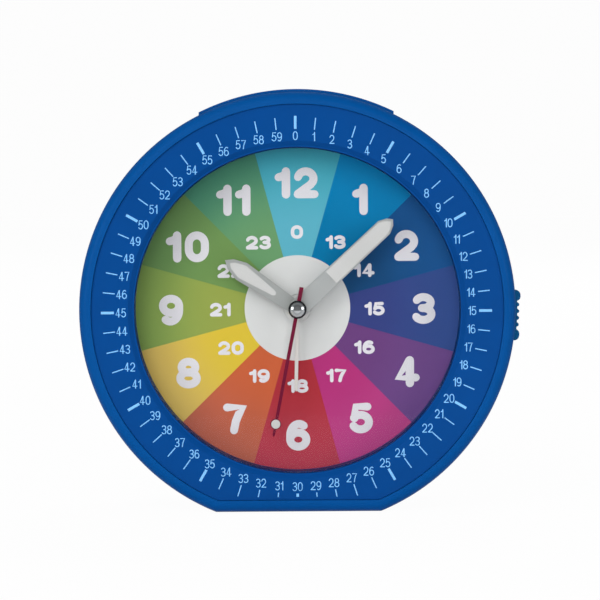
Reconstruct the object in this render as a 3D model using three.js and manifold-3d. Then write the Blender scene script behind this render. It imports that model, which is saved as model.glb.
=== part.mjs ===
// Teaching alarm clock: a round case cut flat below, a scale ring, a deep dial with four hands,
// and a quartz movement whose wheels mesh. Millimetres, X to the right and Z up as seen from the
// front, Y to the back. The origin is in the middle of the flat that the clock rests on.
import * as THREE from "three";
import { mergeVertices } from "three/addons/utils/BufferGeometryUtils.js";
import Module from "manifold-3d";

const wasm = await Module();
wasm.setup();

// Case
const caseRadius = 57.5;
const flatCut = 4.3;
const axisHeight = caseRadius - flatCut;
const caseFront = -23;
const caseSplit = 8;
const caseBack = 20;
const wall = 2.2;
const frontEdge = 2.6;
const backEdge = 3.6;
const cornerRadius = 2.4;
const cornerLeast = 0.8;
const rimWidth = 3.2;
const ledgeDepth = 2.6;
const ledgeWidth = 2.4;
const ledgeThickness = 1.6;
const backWall = 2;

// Clearances
const seatGap = 0.2;
const runGap = 0.15;
const moveGap = 0.35;
const overrun = 2;
const weld = 2e-5;

// Screw posts, and the scale ring and the lens inside them
const screwInset = 7;
const screwRing = caseRadius - screwInset;
const postRadius = 2.8;
const postGap = 0.7;
const flangeRadius = screwRing - postRadius - postGap;
const flangeRim = 3.6;
const dialRadius = flangeRadius - flangeRim;
const dialLip = 1.2;
const throatRadius = dialRadius - dialLip;
const lensLip = 1;
const lensSeatRadius = throatRadius + lensLip;
const ringSetBack = 0.5;
const ringSlope = 0.5;
const chamferDepth = 0.8;
const chamferRadius = lensSeatRadius + chamferDepth;
const lensSeatDepth = 2.9;
const lensThickness = 1.6;
const throatWall = 2;
const flangeThickness = 2.2;

// Dial and its carrier
const dialFront = -9;
const dialThickness = 0.8;
const carrierThickness = 1.3;
const carrierScrewInset = 1.7;
const carrierScrewRadius = flangeRadius - carrierScrewInset;
const pilotShare = 0.8;

// Hands, with their angles clockwise from twelve in degrees
const handStep = 1.6;
const gripGap = 0.05;
const handThickness = 0.5;
const bossHeight = 1.1;
const bossWall = 0.9;
const hourHandShare = 0.55;
const hourHandLength = throatRadius * hourHandShare;
const hourHandWidth = 5.3;
const hourHandRoot = 3.6;
const hourHandAngle = 304;
const hourShoulderShare = 0.77;
const minuteHandShare = 0.825;
const minuteHandLength = throatRadius * minuteHandShare;
const minuteHandWidth = 4.6;
const minuteHandRoot = 5.1;
const minuteHandPoint = 3.2;
const minuteHandAngle = 46.7;
const secondHandShare = 0.8175;
const secondHandLength = throatRadius * secondHandShare;
const secondHandWidth = 0.9;
const secondHandTail = 5.6;
const secondDotRadius = 1.3;
const secondDotShare = 0.881;
const secondDotReach = secondHandLength * secondDotShare;
const secondHandAngle = 190.7;
const alarmHandShare = 0.528;
const alarmHandLength = throatRadius * alarmHandShare;
const alarmHandWidth = 1.05;
const alarmHandAngle = 181;
const capRadius = 2.4;
const capHeight = 1.5;

// Shafts that run inside each other on the clock's axis
const secondArbor = 0.4;
const pipeWall = 0.42;
const bushWall = 1.4;
const bushLength = 4;

// Movement
const movementWidth = 56;
const movementWall = 1.2;
const movementCorner = 3;
const layerThickness = 0.8;
const layerGap = 0.4;
const plateThickness = 1;
const rotorHeight = 2.2;
const magnetRadius = 2.3;
const statorThickness = 1;
const statorRing = 2;
const statorBar = 3;
const coilRadius = 2.9;
const coilWaist = 0.4;
const coilLength = 16;
const coilDrop = 18.2;
const coilShift = -4.5;
const coilRoom = 0.7;
const trainRoom = 7.2;
const movementDrop = coilDrop + coilRadius + coilRoom + movementWall;
const standRadius = 1.6;
const standInset = 4.6;
const crossingShare = 0.56;
const crossingSizeShare = 0.24;
const crossings = 4;
const addendumShare = 0.85;
const dedendumShare = 1.2;
const toothRootShare = 0.54;
const toothTipShare = 0.2;

// Levels of the wheels and of the hands, in order from the dial
const wheelLevels = ["alarm", "hour", "motion", "centre", "third", "seconds", "intermediate", "magnet"];
const handLevels = ["alarm", "hour", "minute", "second"];

// Wheels: the number of teeth, the distance between arbors and where each arbor stands
const centreTeeth = 48;
const thirdPinionTeeth = 6;
const thirdTeeth = 45;
const secondsPinionTeeth = 6;
const goingDistance = 9.9;
const thirdAngle = 0;
const secondsTeeth = 40;
const intermediatePinionTeeth = 8;
const intermediateDistance = 10.5;
const intermediateAngle = 150;
const intermediateTeeth = 36;
const rotorPinionTeeth = 6;
const rotorDistance = 5.4;
const rotorAngle = 120;
const cannonTeeth = 10;
const motionTeeth = 30;
const motionPinionTeeth = 8;
const hourTeeth = 32;
const motionDistance = 12;
const motionAngle = 270;
const alarmTeeth = 30;
const settingTeeth = 15;
const settingDistance = 15;
const settingAngle = 90;
const arborRadius = 1;
const pivotRadius = 0.35;

// Knobs on the back
const knobRadius = 6.5;
const knobHeight = 4.2;
const knobFlutes = 18;
const knobFluteDepth = 0.4;
const knobDish = 1;
const knobCollar = 2.4;

// Snooze bar on top
const barShare = 0.447;
const barHalfLength = caseRadius * barShare;
const barProud = 0.75;
const barThickness = 2.6;
const barFront = -17.5;
const barWidth = 21;
const barTravel = 0.8;
const barLegShare = 0.7;
const barLegPlace = barHalfLength * barLegShare;
const barLegRadius = 1.2;
const barLegReach = 3.2;
const barEdge = 0.6;
const springRadius = 2.1;
const springWire = 0.5;
const springTurns = 3.5;
const springHeight = 4.5;
const springSteps = 7;
const springSides = 5;
const springShelf = 1.6;
const springShelfWidth = 6.4;

// Alarm slider on the right side
const sliderLength = 13.4;
const sliderProud = 1.2;
const sliderWidth = 5;
const sliderDrop = 1.9;
const sliderTravel = 3.8;
const sliderTeeth = 4;
const sliderToothPitch = 1.8;
const sliderToothDepth = 0.6;
const sliderHump = 3;
const sliderPlate = 1.2;
const sliderY = -4;

// Electronics
const boardLength = 36;
const boardInset = 16.5;
const boardThickness = 1.2;
const boardGap = 2;
const switchSize = 6;
const switchDepth = 4;
const plungerRadius = 1.1;
const plungerProud = 2;
const quartzRadius = 1.5;
const quartzLength = 6;
const buzzerRadius = 10;
const buzzerHeight = 4.2;
const buzzerInset = 21.5;
const buzzerRise = caseRadius - buzzerInset;
const buzzerHole = 1.5;
const buzzerCollar = 1.2;
const slideSwitchLength = 14;
const slideSwitchDepth = 6;
const leverLength = 2;
const slotCount = 5;
const slotWidth = 1.4;
const slotPitch = 3.2;
const slotHeight = 13;
const bladeWidth = 2;
const bladeThickness = 0.3;
const bladeAngle = 190;

// Battery, its bay and its door
const cellRadius = 7.1;
const cellLength = 50.2;
const cellNubRadius = 2.6;
const cellNubLength = 1.2;
const cellPlay = 1;
const contactRoom = 7.2;
const bayLength = cellLength + contactRoom;
const bayHeight = 2 * cellRadius + cellPlay;
const bayDepth = bayHeight;
const bayWall = 1.3;
const bayClearance = 3.2;
const bayFloor = axisHeight - movementDrop - bayClearance - bayHeight;
const doorThickness = 1.8;
const doorMargin = 1.8;
const doorTabWidth = 6;
const doorTabPlace = 17;
const doorTabReach = 2.2;
const latchWidth = 10;
const latchReach = 1.6;
const contactThickness = 0.4;
const contactCoilTurns = 3;
const contactCoilRadius = 3.2;
const contactWidth = 8;
const doorPlay = 0.3;
const bayCollar = 1.2;
const bayCollarDepth = 4;
const doorRibs = 7;
const doorRibWidth = 0.9;
const doorRibDepth = 0.35;

// Screws that hold the back
const screwAngles = [50, 130, 235, 305];
const screwHeadRadius = 2.4;
const screwHeadHeight = 1.4;
const screwShank = 1.1;
const screwLength = 8;
const screwSink = 3.4;
const screwSlot = 0.5;
const screwTipShare = 0.6;
const screwTopShare = 0.8;
const screwBevelShare = 0.33;
const smallScrewHead = 1.5;
const smallScrewLength = 3.2;
const smallScrewShank = 0.7;
const smallScrewAngles = [30, 150, 210, 330];

// Facets
const arcSteps = 44;
const cornerSteps = 2;
const flatSteps = 6;
const roundSides = 16;
const smallSides = 10;
const tinySides = 6;
const edgeSteps = 4;
const domeSteps = 3;

// Finishes
const finishes = {
  caseBlue: [0x0355a0, 0.38, 0],
  ringBlue: [0x08488c, 0.5, 0],
  lens: [0xf4f7f8, 0.05, 0],
  dial: [0xd8d8d6, 0.6, 0],
  plate: [0xe8e8e4, 0.55, 0],
  backBlue: [0x0a4f96, 0.5, 0],
  handGrey: [0xd0d3d4, 0.45, 0.1],
  secondRed: [0x8a1f36, 0.45, 0],
  alarmPale: [0xe8e4da, 0.45, 0],
  chrome: [0xd9dcde, 0.15, 1],
  darkBlue: [0x0b2f63, 0.45, 0],
  clearGrey: [0xb9c0c4, 0.35, 0],
  wheelWhite: [0xf0eee6, 0.5, 0],
  wheelTan: [0xd9b98a, 0.5, 0],
  steel: [0xb4b8bb, 0.3, 1],
  copper: [0xb5652f, 0.35, 1],
  board: [0x1f6b3c, 0.5, 0],
  black: [0x202226, 0.5, 0],
  cell: [0x3b4046, 0.35, 0.3],
};

// Angles run clockwise from twelve, as on a clock
const degrees = (angle) => (angle * Math.PI) / 180;
const spot = (distance, angle, from = { x: 0, z: 0 }) => ({
  x: from.x + distance * Math.sin(degrees(angle)),
  z: from.z + distance * Math.cos(degrees(angle)),
});
const onAxis = spot(0, 0);

// Solids and booleans
function volumeOf(geometry) {
  const place = geometry.attributes.position;
  const index = geometry.index;
  const [a, b, c] = [new THREE.Vector3(), new THREE.Vector3(), new THREE.Vector3()];
  let sum = 0;
  for (let i = 0; i < index.count; i += 3) {
    a.fromBufferAttribute(place, index.getX(i));
    b.fromBufferAttribute(place, index.getX(i + 1));
    c.fromBufferAttribute(place, index.getX(i + 2));
    sum += a.dot(b.cross(c));
  }
  return sum;
}

function merged(geometry) {
  const bare = geometry.clone();
  bare.deleteAttribute("normal");
  bare.deleteAttribute("uv");
  const joined = mergeVertices(bare, weld);
  const kept = [];
  for (let i = 0; i < joined.index.count; i += 3) {
    const corners = [0, 1, 2].map((k) => joined.index.getX(i + k));
    if (new Set(corners).size === 3) kept.push(...corners);
  }
  joined.setIndex(kept);
  if (volumeOf(joined) < 0) joined.setIndex(kept.reverse());
  return joined;
}

function toManifold(geometry) {
  const bare = merged(geometry);
  const mesh = new wasm.Mesh({
    numProp: 3,
    vertProperties: new Float32Array(bare.attributes.position.array),
    triVerts: new Uint32Array(bare.index.array),
  });
  mesh.merge();
  return new wasm.Manifold(mesh);
}

function toGeometry(manifold) {
  const mesh = manifold.getMesh();
  const geometry = new THREE.BufferGeometry();
  geometry.setAttribute("position", new THREE.BufferAttribute(mesh.vertProperties, 3));
  geometry.setIndex(new THREE.BufferAttribute(mesh.triVerts, 1));
  return geometry;
}

function join(...geometries) {
  return toGeometry(geometries.map(toManifold).reduce((whole, next) => whole.add(next)));
}

function cut(body, ...tools) {
  return toGeometry(tools.map(toManifold).reduce((whole, tool) => whole.subtract(tool), toManifold(body)));
}

// Basic forms, all with their axis along Y
function rod(radius, from, to, sides = roundSides, place = onAxis) {
  const geometry = new THREE.CylinderGeometry(radius, radius, to - from, sides);
  return geometry.translate(place.x, (from + to) / 2, place.z);
}

function tube(outer, inner, from, to, sides = roundSides, place = onAxis) {
  const profile = [[inner, from], [outer, from], [outer, to], [inner, to], [inner, from]];
  return turned(profile, sides, place);
}

function turned(profile, sides = roundSides, place = onAxis) {
  const points = profile.map(([radius, y]) => new THREE.Vector2(radius, y));
  return new THREE.LatheGeometry(points, sides).translate(place.x, 0, place.z);
}

function block(xFrom, xTo, yFrom, yTo, zFrom, zTo) {
  const geometry = new THREE.BoxGeometry(xTo - xFrom, yTo - yFrom, zTo - zFrom);
  return geometry.translate((xFrom + xTo) / 2, (yFrom + yTo) / 2, (zFrom + zTo) / 2);
}

function upright(radius, place, zFrom, zTo, sides = smallSides) {
  const geometry = new THREE.CylinderGeometry(radius, radius, zTo - zFrom, sides);
  return geometry.rotateX(Math.PI / 2).translate(place.x, place.y, (zFrom + zTo) / 2);
}

function slab(shape, yFrom, yTo, curveSegments = 6) {
  const settings = { depth: yTo - yFrom, bevelEnabled: false, curveSegments };
  return new THREE.ExtrudeGeometry(shape, settings).rotateX(Math.PI / 2).translate(0, yTo, 0);
}

function outlineShape(points) {
  return new THREE.Shape(points.map(([x, z]) => new THREE.Vector2(x, z)));
}

function roundedBox(halfWidth, zFrom, zTo, radius) {
  const shape = new THREE.Shape();
  shape.absarc(halfWidth - radius, zTo - radius, radius, 0, Math.PI / 2);
  shape.absarc(radius - halfWidth, zTo - radius, radius, Math.PI / 2, Math.PI);
  shape.absarc(radius - halfWidth, zFrom + radius, radius, Math.PI, 1.5 * Math.PI);
  shape.absarc(halfWidth - radius, zFrom + radius, radius, 1.5 * Math.PI, 2 * Math.PI);
  shape.closePath();
  return shape;
}

// The case's outline: a circle cut flat below, drawn in by an inset, as a ring of points
function caseOutline(inset, y) {
  const radius = caseRadius - inset;
  const drop = axisHeight - inset;
  const corner = Math.max(cornerRadius - inset, cornerLeast);
  const cornerX = Math.sqrt((radius - corner) ** 2 - (drop - corner) ** 2);
  const meet = Math.atan2(corner - drop, cornerX);
  const ring = [];
  for (let i = 0; i <= arcSteps; i++) {
    const angle = meet + ((Math.PI - 2 * meet) * i) / arcSteps;
    ring.push([radius * Math.cos(angle), y, axisHeight + radius * Math.sin(angle)]);
  }
  for (let i = 1; i <= cornerSteps; i++) {
    const angle = Math.PI - meet + ((Math.PI / 2 + meet) * i) / cornerSteps;
    ring.push([corner * Math.cos(angle) - cornerX, y, inset + corner + corner * Math.sin(angle)]);
  }
  for (let i = 1; i < flatSteps; i++) {
    ring.push([((2 * i) / flatSteps - 1) * cornerX, y, inset]);
  }
  for (let i = 0; i < cornerSteps; i++) {
    const angle = 1.5 * Math.PI + ((Math.PI / 2 + meet) * i) / cornerSteps;
    ring.push([corner * Math.cos(angle) + cornerX, y, inset + corner + corner * Math.sin(angle)]);
  }
  return ring;
}

// A circle with its points in the same directions as those of the case's outline
function circleOutline(radius, y) {
  return caseOutline(0, y).map(([x, , z]) => {
    const angle = Math.atan2(z - axisHeight, x);
    return [radius * Math.cos(angle), y, axisHeight + radius * Math.sin(angle)];
  });
}

// A skin over rings of points: closed on itself, or with a flat cap on its first and last ring
function loft(rings, closed) {
  const count = rings[0].length;
  const points = rings.flat();
  const faces = [];
  const last = closed ? rings.length : rings.length - 1;
  for (let r = 0; r < last; r++) {
    const [here, next] = [r * count, ((r + 1) % rings.length) * count];
    for (let i = 0; i < count; i++) {
      const j = (i + 1) % count;
      faces.push(here + i, here + j, next + j, here + i, next + j, next + i);
    }
  }
  if (!closed) {
    for (const [ring, turn] of [[rings[0], false], [rings[rings.length - 1], true]]) {
      const start = ring === rings[0] ? 0 : (rings.length - 1) * count;
      points.push([0, ring[0][1], axisHeight]);
      for (let i = 0; i < count; i++) {
        const [a, b] = [start + i, start + ((i + 1) % count)];
        faces.push(...(turn ? [a, b, points.length - 1] : [b, a, points.length - 1]));
      }
    }
  }
  const geometry = new THREE.BufferGeometry();
  geometry.setAttribute("position", new THREE.BufferAttribute(new Float32Array(points.flat()), 3));
  geometry.setIndex(faces);
  return geometry;
}

// Pieces are collected by name
const clock = new THREE.Group();
function piece(name, geometry, finish, at = {}) {
  const [color, roughness, metalness] = finishes[finish];
  const material = new THREE.MeshStandardMaterial({ color, roughness, metalness });
  const mesh = new THREE.Mesh(merged(geometry), material);
  mesh.name = name;
  mesh.position.set(at.x ?? 0, at.y ?? 0, at.z ?? 0);
  mesh.rotation.y = degrees(at.turn ?? 0);
  clock.add(mesh);
  return mesh;
}

// Case: the front shell with its rim, ledge, screw posts and spring shelves
const ledgeFront = caseFront + ledgeDepth;
const innerRadius = caseRadius - wall;
const screwSpots = screwAngles.map((angle) => spot(screwRing, angle, { x: 0, z: axisHeight }));
const postFront = ledgeFront + ledgeThickness;
const barBack = barFront + barWidth;
const barUnder = caseRadius + barProud - barThickness;
const springOuter = springRadius + springWire / 2;
const legTop = axisHeight + Math.sqrt(barUnder ** 2 - (barLegPlace + springOuter) ** 2);
const shelfTop = legTop - springHeight - 2 * seatGap;
const barMiddle = (barFront + barBack) / 2;
const sliderMiddle = axisHeight - sliderDrop;

// A quarter round from the case's side to a face at y, as insets and places along Y
function roundedEdge(size, y, towards) {
  return Array.from({ length: edgeSteps + 1 }, (_, step) => {
    const angle = (step / edgeSteps) * (Math.PI / 2);
    return [size * (1 - Math.cos(angle)), y - towards * size * (1 - Math.sin(angle))];
  });
}

function frontShell() {
  const rim = roundedEdge(frontEdge, caseFront, -1);
  const section = [
    [0, caseSplit], ...rim, [rimWidth, caseFront], [rimWidth, ledgeFront],
    [rimWidth + ledgeWidth, ledgeFront], [rimWidth + ledgeWidth, postFront],
    [wall, postFront], [wall, caseSplit],
  ];
  return loft(section.map(([inset, y]) => caseOutline(inset, y)), true);
}

function post({ x, z }) {
  const place = { x, z };
  return rod(postRadius, postFront - ledgeThickness / 2, caseSplit - seatGap, smallSides, place);
}

function springSupport(side) {
  const half = springShelfWidth / 2;
  const under = shelfTop - springShelf;
  const reach = Math.sqrt(innerRadius ** 2 - (under - axisHeight) ** 2) + wall / 2;
  const [from, to] = [side * (barLegPlace - half), side * reach].sort((a, b) => a - b);
  return block(from, to, barMiddle - half, barMiddle + half, under, shelfTop);
}

function barOpening() {
  const half = barHalfLength + moveGap;
  const low = axisHeight + Math.sqrt(innerRadius ** 2 - half ** 2) - wall;
  return block(-half, half, barFront - moveGap, barBack + moveGap, low, axisHeight + 2 * caseRadius);
}

function sliderOpening() {
  const half = sliderWidth / 2 + moveGap;
  const low = sliderMiddle - sliderLength / 2 - moveGap;
  const high = sliderMiddle + sliderLength / 2 + sliderTravel + moveGap;
  return block(innerRadius - overrun, caseRadius + overrun, sliderY - half, sliderY + half, low, high);
}

function frontCase() {
  const open = cut(frontShell(), barOpening(), sliderOpening());
  const whole = join(open, ...screwSpots.map(post), springSupport(-1), springSupport(1));
  const pilots = screwSpots.map((place) =>
    rod(screwShank + seatGap, caseSplit - screwLength, caseSplit + overrun, smallSides, place));
  return cut(whole, ...pilots);
}
piece("front_case", frontCase(), "caseBlue");

// Scale ring: a plate cut flat below, a lens seat, a throat and a flange that holds the dial
const ringFront = caseFront + ringSetBack;
const ringBack = ledgeFront - seatGap;
const lensShelf = ringFront + lensSeatDepth;
const dialBack = dialFront + dialThickness;
const flangeBack = dialBack + seatGap;

function minuteRing() {
  const inset = rimWidth + seatGap;
  const slopeEnd = ringFront + ringSlope;
  const circles = [
    [chamferRadius, slopeEnd], [lensSeatRadius, slopeEnd + chamferDepth],
    [lensSeatRadius, lensShelf], [throatRadius, lensShelf], [throatRadius, dialFront - seatGap],
    [dialRadius + seatGap, dialFront - seatGap], [dialRadius + seatGap, flangeBack],
    [flangeRadius, flangeBack], [flangeRadius, flangeBack - flangeThickness],
    [throatRadius + throatWall, flangeBack - 2 * flangeThickness],
    [throatRadius + throatWall, ringBack],
  ];
  const rings = [caseOutline(inset, ringFront), ...circles.map(([r, y]) => circleOutline(r, y))];
  const pilots = smallScrewAngles.map((angle) => rod(smallScrewShank + seatGap,
    flangeBack - flangeThickness * pilotShare, flangeBack + overrun, tinySides,
    spot(carrierScrewRadius, angle, { x: 0, z: axisHeight })));
  return cut(loft([...rings, caseOutline(inset, ringBack)], true), ...pilots);
}
piece("minute_ring", minuteRing(), "ringBlue");

const axisSpot = { x: 0, z: axisHeight };
const lensRadius = lensSeatRadius - seatGap;
const lensBack = lensShelf - seatGap;
piece("lens", rod(lensRadius, lensBack - lensThickness, lensBack, arcSteps), "lens", axisSpot);

// Pipes and the bush that they run in, from the inside out
const minuteBore = secondArbor + runGap;
const minutePipe = minuteBore + pipeWall;
const hourBore = minutePipe + runGap;
const hourPipe = hourBore + pipeWall;
const alarmBore = hourPipe + runGap;
const alarmPipe = alarmBore + pipeWall;
const bushBore = alarmPipe + runGap;
const bushRadius = bushBore + bushWall;

piece("dial", tube(dialRadius, bushRadius + seatGap, dialFront, dialBack, arcSteps), "dial", axisSpot);

// Carrier: the plate behind the dial, screwed to the flange
const carrierFront = flangeBack + seatGap;
const carrierBack = carrierFront + carrierThickness;
const smallScrewSpots = smallScrewAngles.map((angle) => spot(carrierScrewRadius, angle));

function carrier() {
  const plate = tube(flangeRadius, bushRadius + seatGap, carrierFront, carrierBack, arcSteps);
  const rim = tube(dialRadius, dialRadius - wall, carrierFront + carrierThickness / 2,
    carrierBack + carrierThickness, arcSteps / 2);
  const holes = smallScrewSpots.map((place) =>
    rod(screwShank, carrierFront - overrun, carrierBack + overrun, smallSides, place));
  return cut(join(plate, rim), ...holes);
}
piece("dial_carrier", carrier(), "plate", axisSpot);

// Hands: flat blades with a boss, pressed on pipes that end one above the other
const coverFront = carrierBack + seatGap;
const bushFront = coverFront - bushLength;
const handFront = (name) => bushFront - seatGap - bossHeight - handLevels.indexOf(name) * handStep;

function hand(blade, name, pipeRadius) {
  const front = handFront(name);
  const bore = pipeRadius + gripGap;
  const flat = slab(outlineShape(blade), front, front + handThickness);
  const boss = rod(pipeRadius + bossWall, front, front + bossHeight);
  return cut(join(flat, boss), rod(bore, front - overrun, front + bossHeight + overrun));
}

function hourBlade() {
  const [root, half] = [hourHandRoot / 2, hourHandWidth / 2];
  const shoulder = hourHandLength * hourShoulderShare;
  return [[-root, 0], [root, 0], [half, shoulder], [0, hourHandLength], [-half, shoulder]];
}

function minuteBlade() {
  const [root, half] = [minuteHandRoot / 2, minuteHandWidth / 2];
  const shoulder = minuteHandLength - minuteHandPoint;
  return [[-root, 0], [root, 0], [half, shoulder], [0, minuteHandLength], [-half, shoulder]];
}

function straightBlade(width, tail, length) {
  const half = width / 2;
  return [[-half, -tail], [half, -tail], [half, length - width], [0, length], [-half, length - width]];
}

function secondHand() {
  const front = handFront("second");
  const dot = rod(secondDotRadius, front, front + handThickness, smallSides, spot(secondDotReach, 0));
  return join(hand(straightBlade(secondHandWidth, secondHandTail, secondHandLength),
    "second", secondArbor), dot);
}

const onHand = (turn) => ({ ...axisSpot, turn });
const alarmBlade = straightBlade(alarmHandWidth, 0, alarmHandLength);
piece("alarm_hand", hand(alarmBlade, "alarm", alarmPipe), "alarmPale", onHand(alarmHandAngle));
piece("hour_hand", hand(hourBlade(), "hour", hourPipe), "handGrey", onHand(hourHandAngle));
const minuteHand = hand(minuteBlade(), "minute", minutePipe);
piece("minute_hand", minuteHand, "handGrey", onHand(minuteHandAngle));
piece("second_hand", secondHand(), "secondRed", onHand(secondHandAngle));

function centreCap() {
  const back = handFront("second") - seatGap;
  const dome = Array.from({ length: domeSteps + 1 }, (_, step) => {
    const angle = (step / domeSteps) * (Math.PI / 2);
    return [capRadius * Math.sin(angle), back - capHeight * (1 + Math.cos(angle)) / 2];
  });
  return turned([...dome, [capRadius, back], [0, back]]);
}
piece("centre_cap", centreCap(), "chrome", onHand(secondHandAngle));

// Movement case: a cover with the bush, a tray behind and a plate between the two trains
const layerPitch = layerThickness + layerGap;
const layersStart = coverFront + movementWall + layerGap;
const middleLevel = wheelLevels.indexOf("centre");
const plateFront = layersStart + middleLevel * layerPitch;
const plateBack = plateFront + plateThickness;
function layer(name) {
  const number = wheelLevels.indexOf(name);
  const start = number < middleLevel ? layersStart : plateBack + layerGap - middleLevel * layerPitch;
  return start + number * layerPitch;
}
const magnetFront = layer("magnet");
const statorMiddle = magnetFront + rotorHeight / 2;
const trayFront = statorMiddle + coilRadius + seatGap;
const trayBack = trayFront + movementWall;
const [moveLow, moveHigh] = [-movementDrop, 2 * goingDistance + trainRoom];
const moveHalf = movementWidth / 2;

const thirdSpot = spot(goingDistance, thirdAngle);
const intermediateSpot = spot(intermediateDistance, intermediateAngle);
const rotorSpot = spot(rotorDistance, rotorAngle, intermediateSpot);
const motionSpot = spot(motionDistance, motionAngle);
const settingSpot = spot(settingDistance, settingAngle);

function movementOutline(inset) {
  const corner = movementCorner - inset / 2;
  return roundedBox(moveHalf - inset, moveLow + inset, moveHigh - inset, corner);
}

const holeAt = (radius, from, to) => (place) => rod(radius, from, to, smallSides, place);

function movementCover() {
  const plate = slab(movementOutline(0), coverFront, coverFront + movementWall);
  const bush = rod(bushRadius, bushFront, coverFront + movementWall);
  const bore = rod(bushBore, bushFront - overrun, coverFront + movementWall + overrun);
  const pivots = [motionSpot, settingSpot].map(holeAt(pivotRadius + runGap,
    coverFront + movementWall / 2, coverFront + movementWall + overrun));
  return cut(join(plate, bush), bore, ...pivots);
}
piece("movement_cover", movementCover(), "clearGrey", axisSpot);

function standSpots() {
  const [side, low, high] = [moveHalf - standInset, moveLow + standInset, moveHigh - standInset];
  return [[-side, low], [side, low], [-side, high], [side, high]].map(([x, z]) => ({ x, z }));
}

function movementTray() {
  const front = coverFront + movementWall + seatGap;
  const outside = slab(movementOutline(0), front, trayBack);
  const inside = slab(movementOutline(movementWall), front - overrun, trayFront);
  const stands = standSpots().map(holeAt(standRadius, plateBack + seatGap, trayFront + movementWall / 2));
  const arbors = [motionSpot, settingSpot].map(holeAt(arborRadius + runGap, trayFront - overrun,
    trayBack + overrun));
  const pivots = [onAxis, thirdSpot, intermediateSpot, rotorSpot].map(holeAt(pivotRadius + runGap,
    trayFront - overrun, trayFront + movementWall / 2));
  return cut(join(cut(outside, inside), ...stands), ...arbors, ...pivots);
}
piece("movement_tray", movementTray(), "clearGrey", axisSpot);

function middlePlate() {
  const plate = slab(movementOutline(movementWall + seatGap), plateFront, plateBack);
  const through = (radius) => holeAt(radius + runGap, plateFront - overrun, plateBack + overrun);
  const pivots = [thirdSpot, intermediateSpot, rotorSpot].map(through(pivotRadius));
  const arbors = [motionSpot, settingSpot].map(through(arborRadius));
  return cut(plate, through(minutePipe)(onAxis), ...arbors, ...pivots);
}
piece("middle_plate", middlePlate(), "clearGrey", axisSpot);

// Wheels: straight-flanked teeth that thin towards the tip, with play between meshed flanks
function toothRing(teeth, pitchRadius) {
  const size = (2 * pitchRadius) / teeth;
  const [tip, root] = [pitchRadius + addendumShare * size, pitchRadius - dedendumShare * size];
  const pitchAngle = (2 * Math.PI) / teeth;
  const corners = [[root, -toothRootShare], [tip, -toothTipShare], [tip, toothTipShare],
    [root, toothRootShare]];
  const ring = [];
  for (let i = 0; i < teeth; i++) {
    for (const [radius, share] of corners) {
      const angle = (i + share / 2) * pitchAngle;
      ring.push([radius * Math.sin(angle), radius * Math.cos(angle)]);
    }
  }
  return ring.reverse();
}

function toothed(teeth, pitchRadius, from, to) {
  return slab(outlineShape(toothRing(teeth, pitchRadius)), from, to);
}

// A flat wheel with round crossings between its hub and its rim
function wheel(teeth, pitchRadius, name) {
  const [from, to] = [layer(name), layer(name) + layerThickness];
  const disc = toothed(teeth, pitchRadius, from, to);
  const holes = Array.from({ length: crossings }, (_, i) => {
    const place = spot(pitchRadius * crossingShare, (360 / crossings) * i);
    return rod(pitchRadius * crossingSizeShare, from - overrun, to + overrun, tinySides, place);
  });
  return cut(disc, ...holes);
}

const shareOf = (distance, teeth, mate) => (distance * teeth) / (teeth + mate);

// The turn that puts a gap of the driven wheel opposite a tooth of the wheel that drives it
function meshTurn(turn, teeth, mate, direction) {
  return direction + 180 + 180 / mate - ((turn - direction) * teeth) / mate;
}
const standAt = ({ x, z }, turn) => ({ x, z: axisHeight + z, turn });

const thirdTurn = meshTurn(0, centreTeeth, thirdPinionTeeth, thirdAngle);
const secondsTurn = meshTurn(thirdTurn, thirdTeeth, secondsPinionTeeth, thirdAngle + 180);
const intermediateTurn = meshTurn(secondsTurn, secondsTeeth, intermediatePinionTeeth, intermediateAngle);
const rotorTurn = meshTurn(intermediateTurn, intermediateTeeth, rotorPinionTeeth, rotorAngle);
const motionTurn = meshTurn(0, cannonTeeth, motionTeeth, motionAngle);
const hourTurn = meshTurn(motionTurn, motionPinionTeeth, hourTeeth, motionAngle + 180);
const alarmTurn = meshTurn(0, settingTeeth, alarmTeeth, settingAngle + 180);
const pivotEnd = trayFront + movementWall / 2 - seatGap;

function alarmWheel() {
  const disc = wheel(alarmTeeth, shareOf(settingDistance, alarmTeeth, settingTeeth), "alarm");
  const pipe = rod(alarmPipe, handFront("alarm"), layer("alarm") + layerThickness);
  return cut(join(disc, pipe), rod(alarmBore, handFront("alarm") - overrun, plateFront));
}
piece("alarm_wheel", alarmWheel(), "wheelTan", onHand(alarmTurn));

function hourWheel() {
  const disc = wheel(hourTeeth, shareOf(motionDistance, hourTeeth, motionPinionTeeth), "hour");
  const pipe = rod(hourPipe, handFront("hour"), layer("hour") + layerThickness);
  return cut(join(disc, pipe), rod(hourBore, handFront("hour") - overrun, plateFront));
}
piece("hour_wheel", hourWheel(), "wheelWhite", onHand(hourTurn));

function centreWheel() {
  const disc = wheel(centreTeeth, shareOf(goingDistance, centreTeeth, thirdPinionTeeth), "centre");
  const cannon = toothed(cannonTeeth, shareOf(motionDistance, cannonTeeth, motionTeeth),
    layer("motion"), layer("motion") + layerThickness);
  const pipe = rod(minutePipe, handFront("minute"), layer("centre") + layerThickness);
  const bore = rod(minuteBore, handFront("minute") - overrun, layer("third"));
  return cut(join(disc, cannon, pipe), bore);
}
piece("centre_wheel", centreWheel(), "wheelWhite", onHand(0));

function thirdWheel() {
  const pinion = toothed(thirdPinionTeeth, shareOf(goingDistance, thirdPinionTeeth, centreTeeth),
    layer("centre"), layer("third") + layerThickness / 2);
  const disc = wheel(thirdTeeth, shareOf(goingDistance, thirdTeeth, secondsPinionTeeth), "third");
  return join(disc, pinion, rod(pivotRadius, plateFront, pivotEnd, tinySides));
}
piece("third_wheel", thirdWheel(), "wheelTan", standAt(thirdSpot, thirdTurn));

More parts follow.
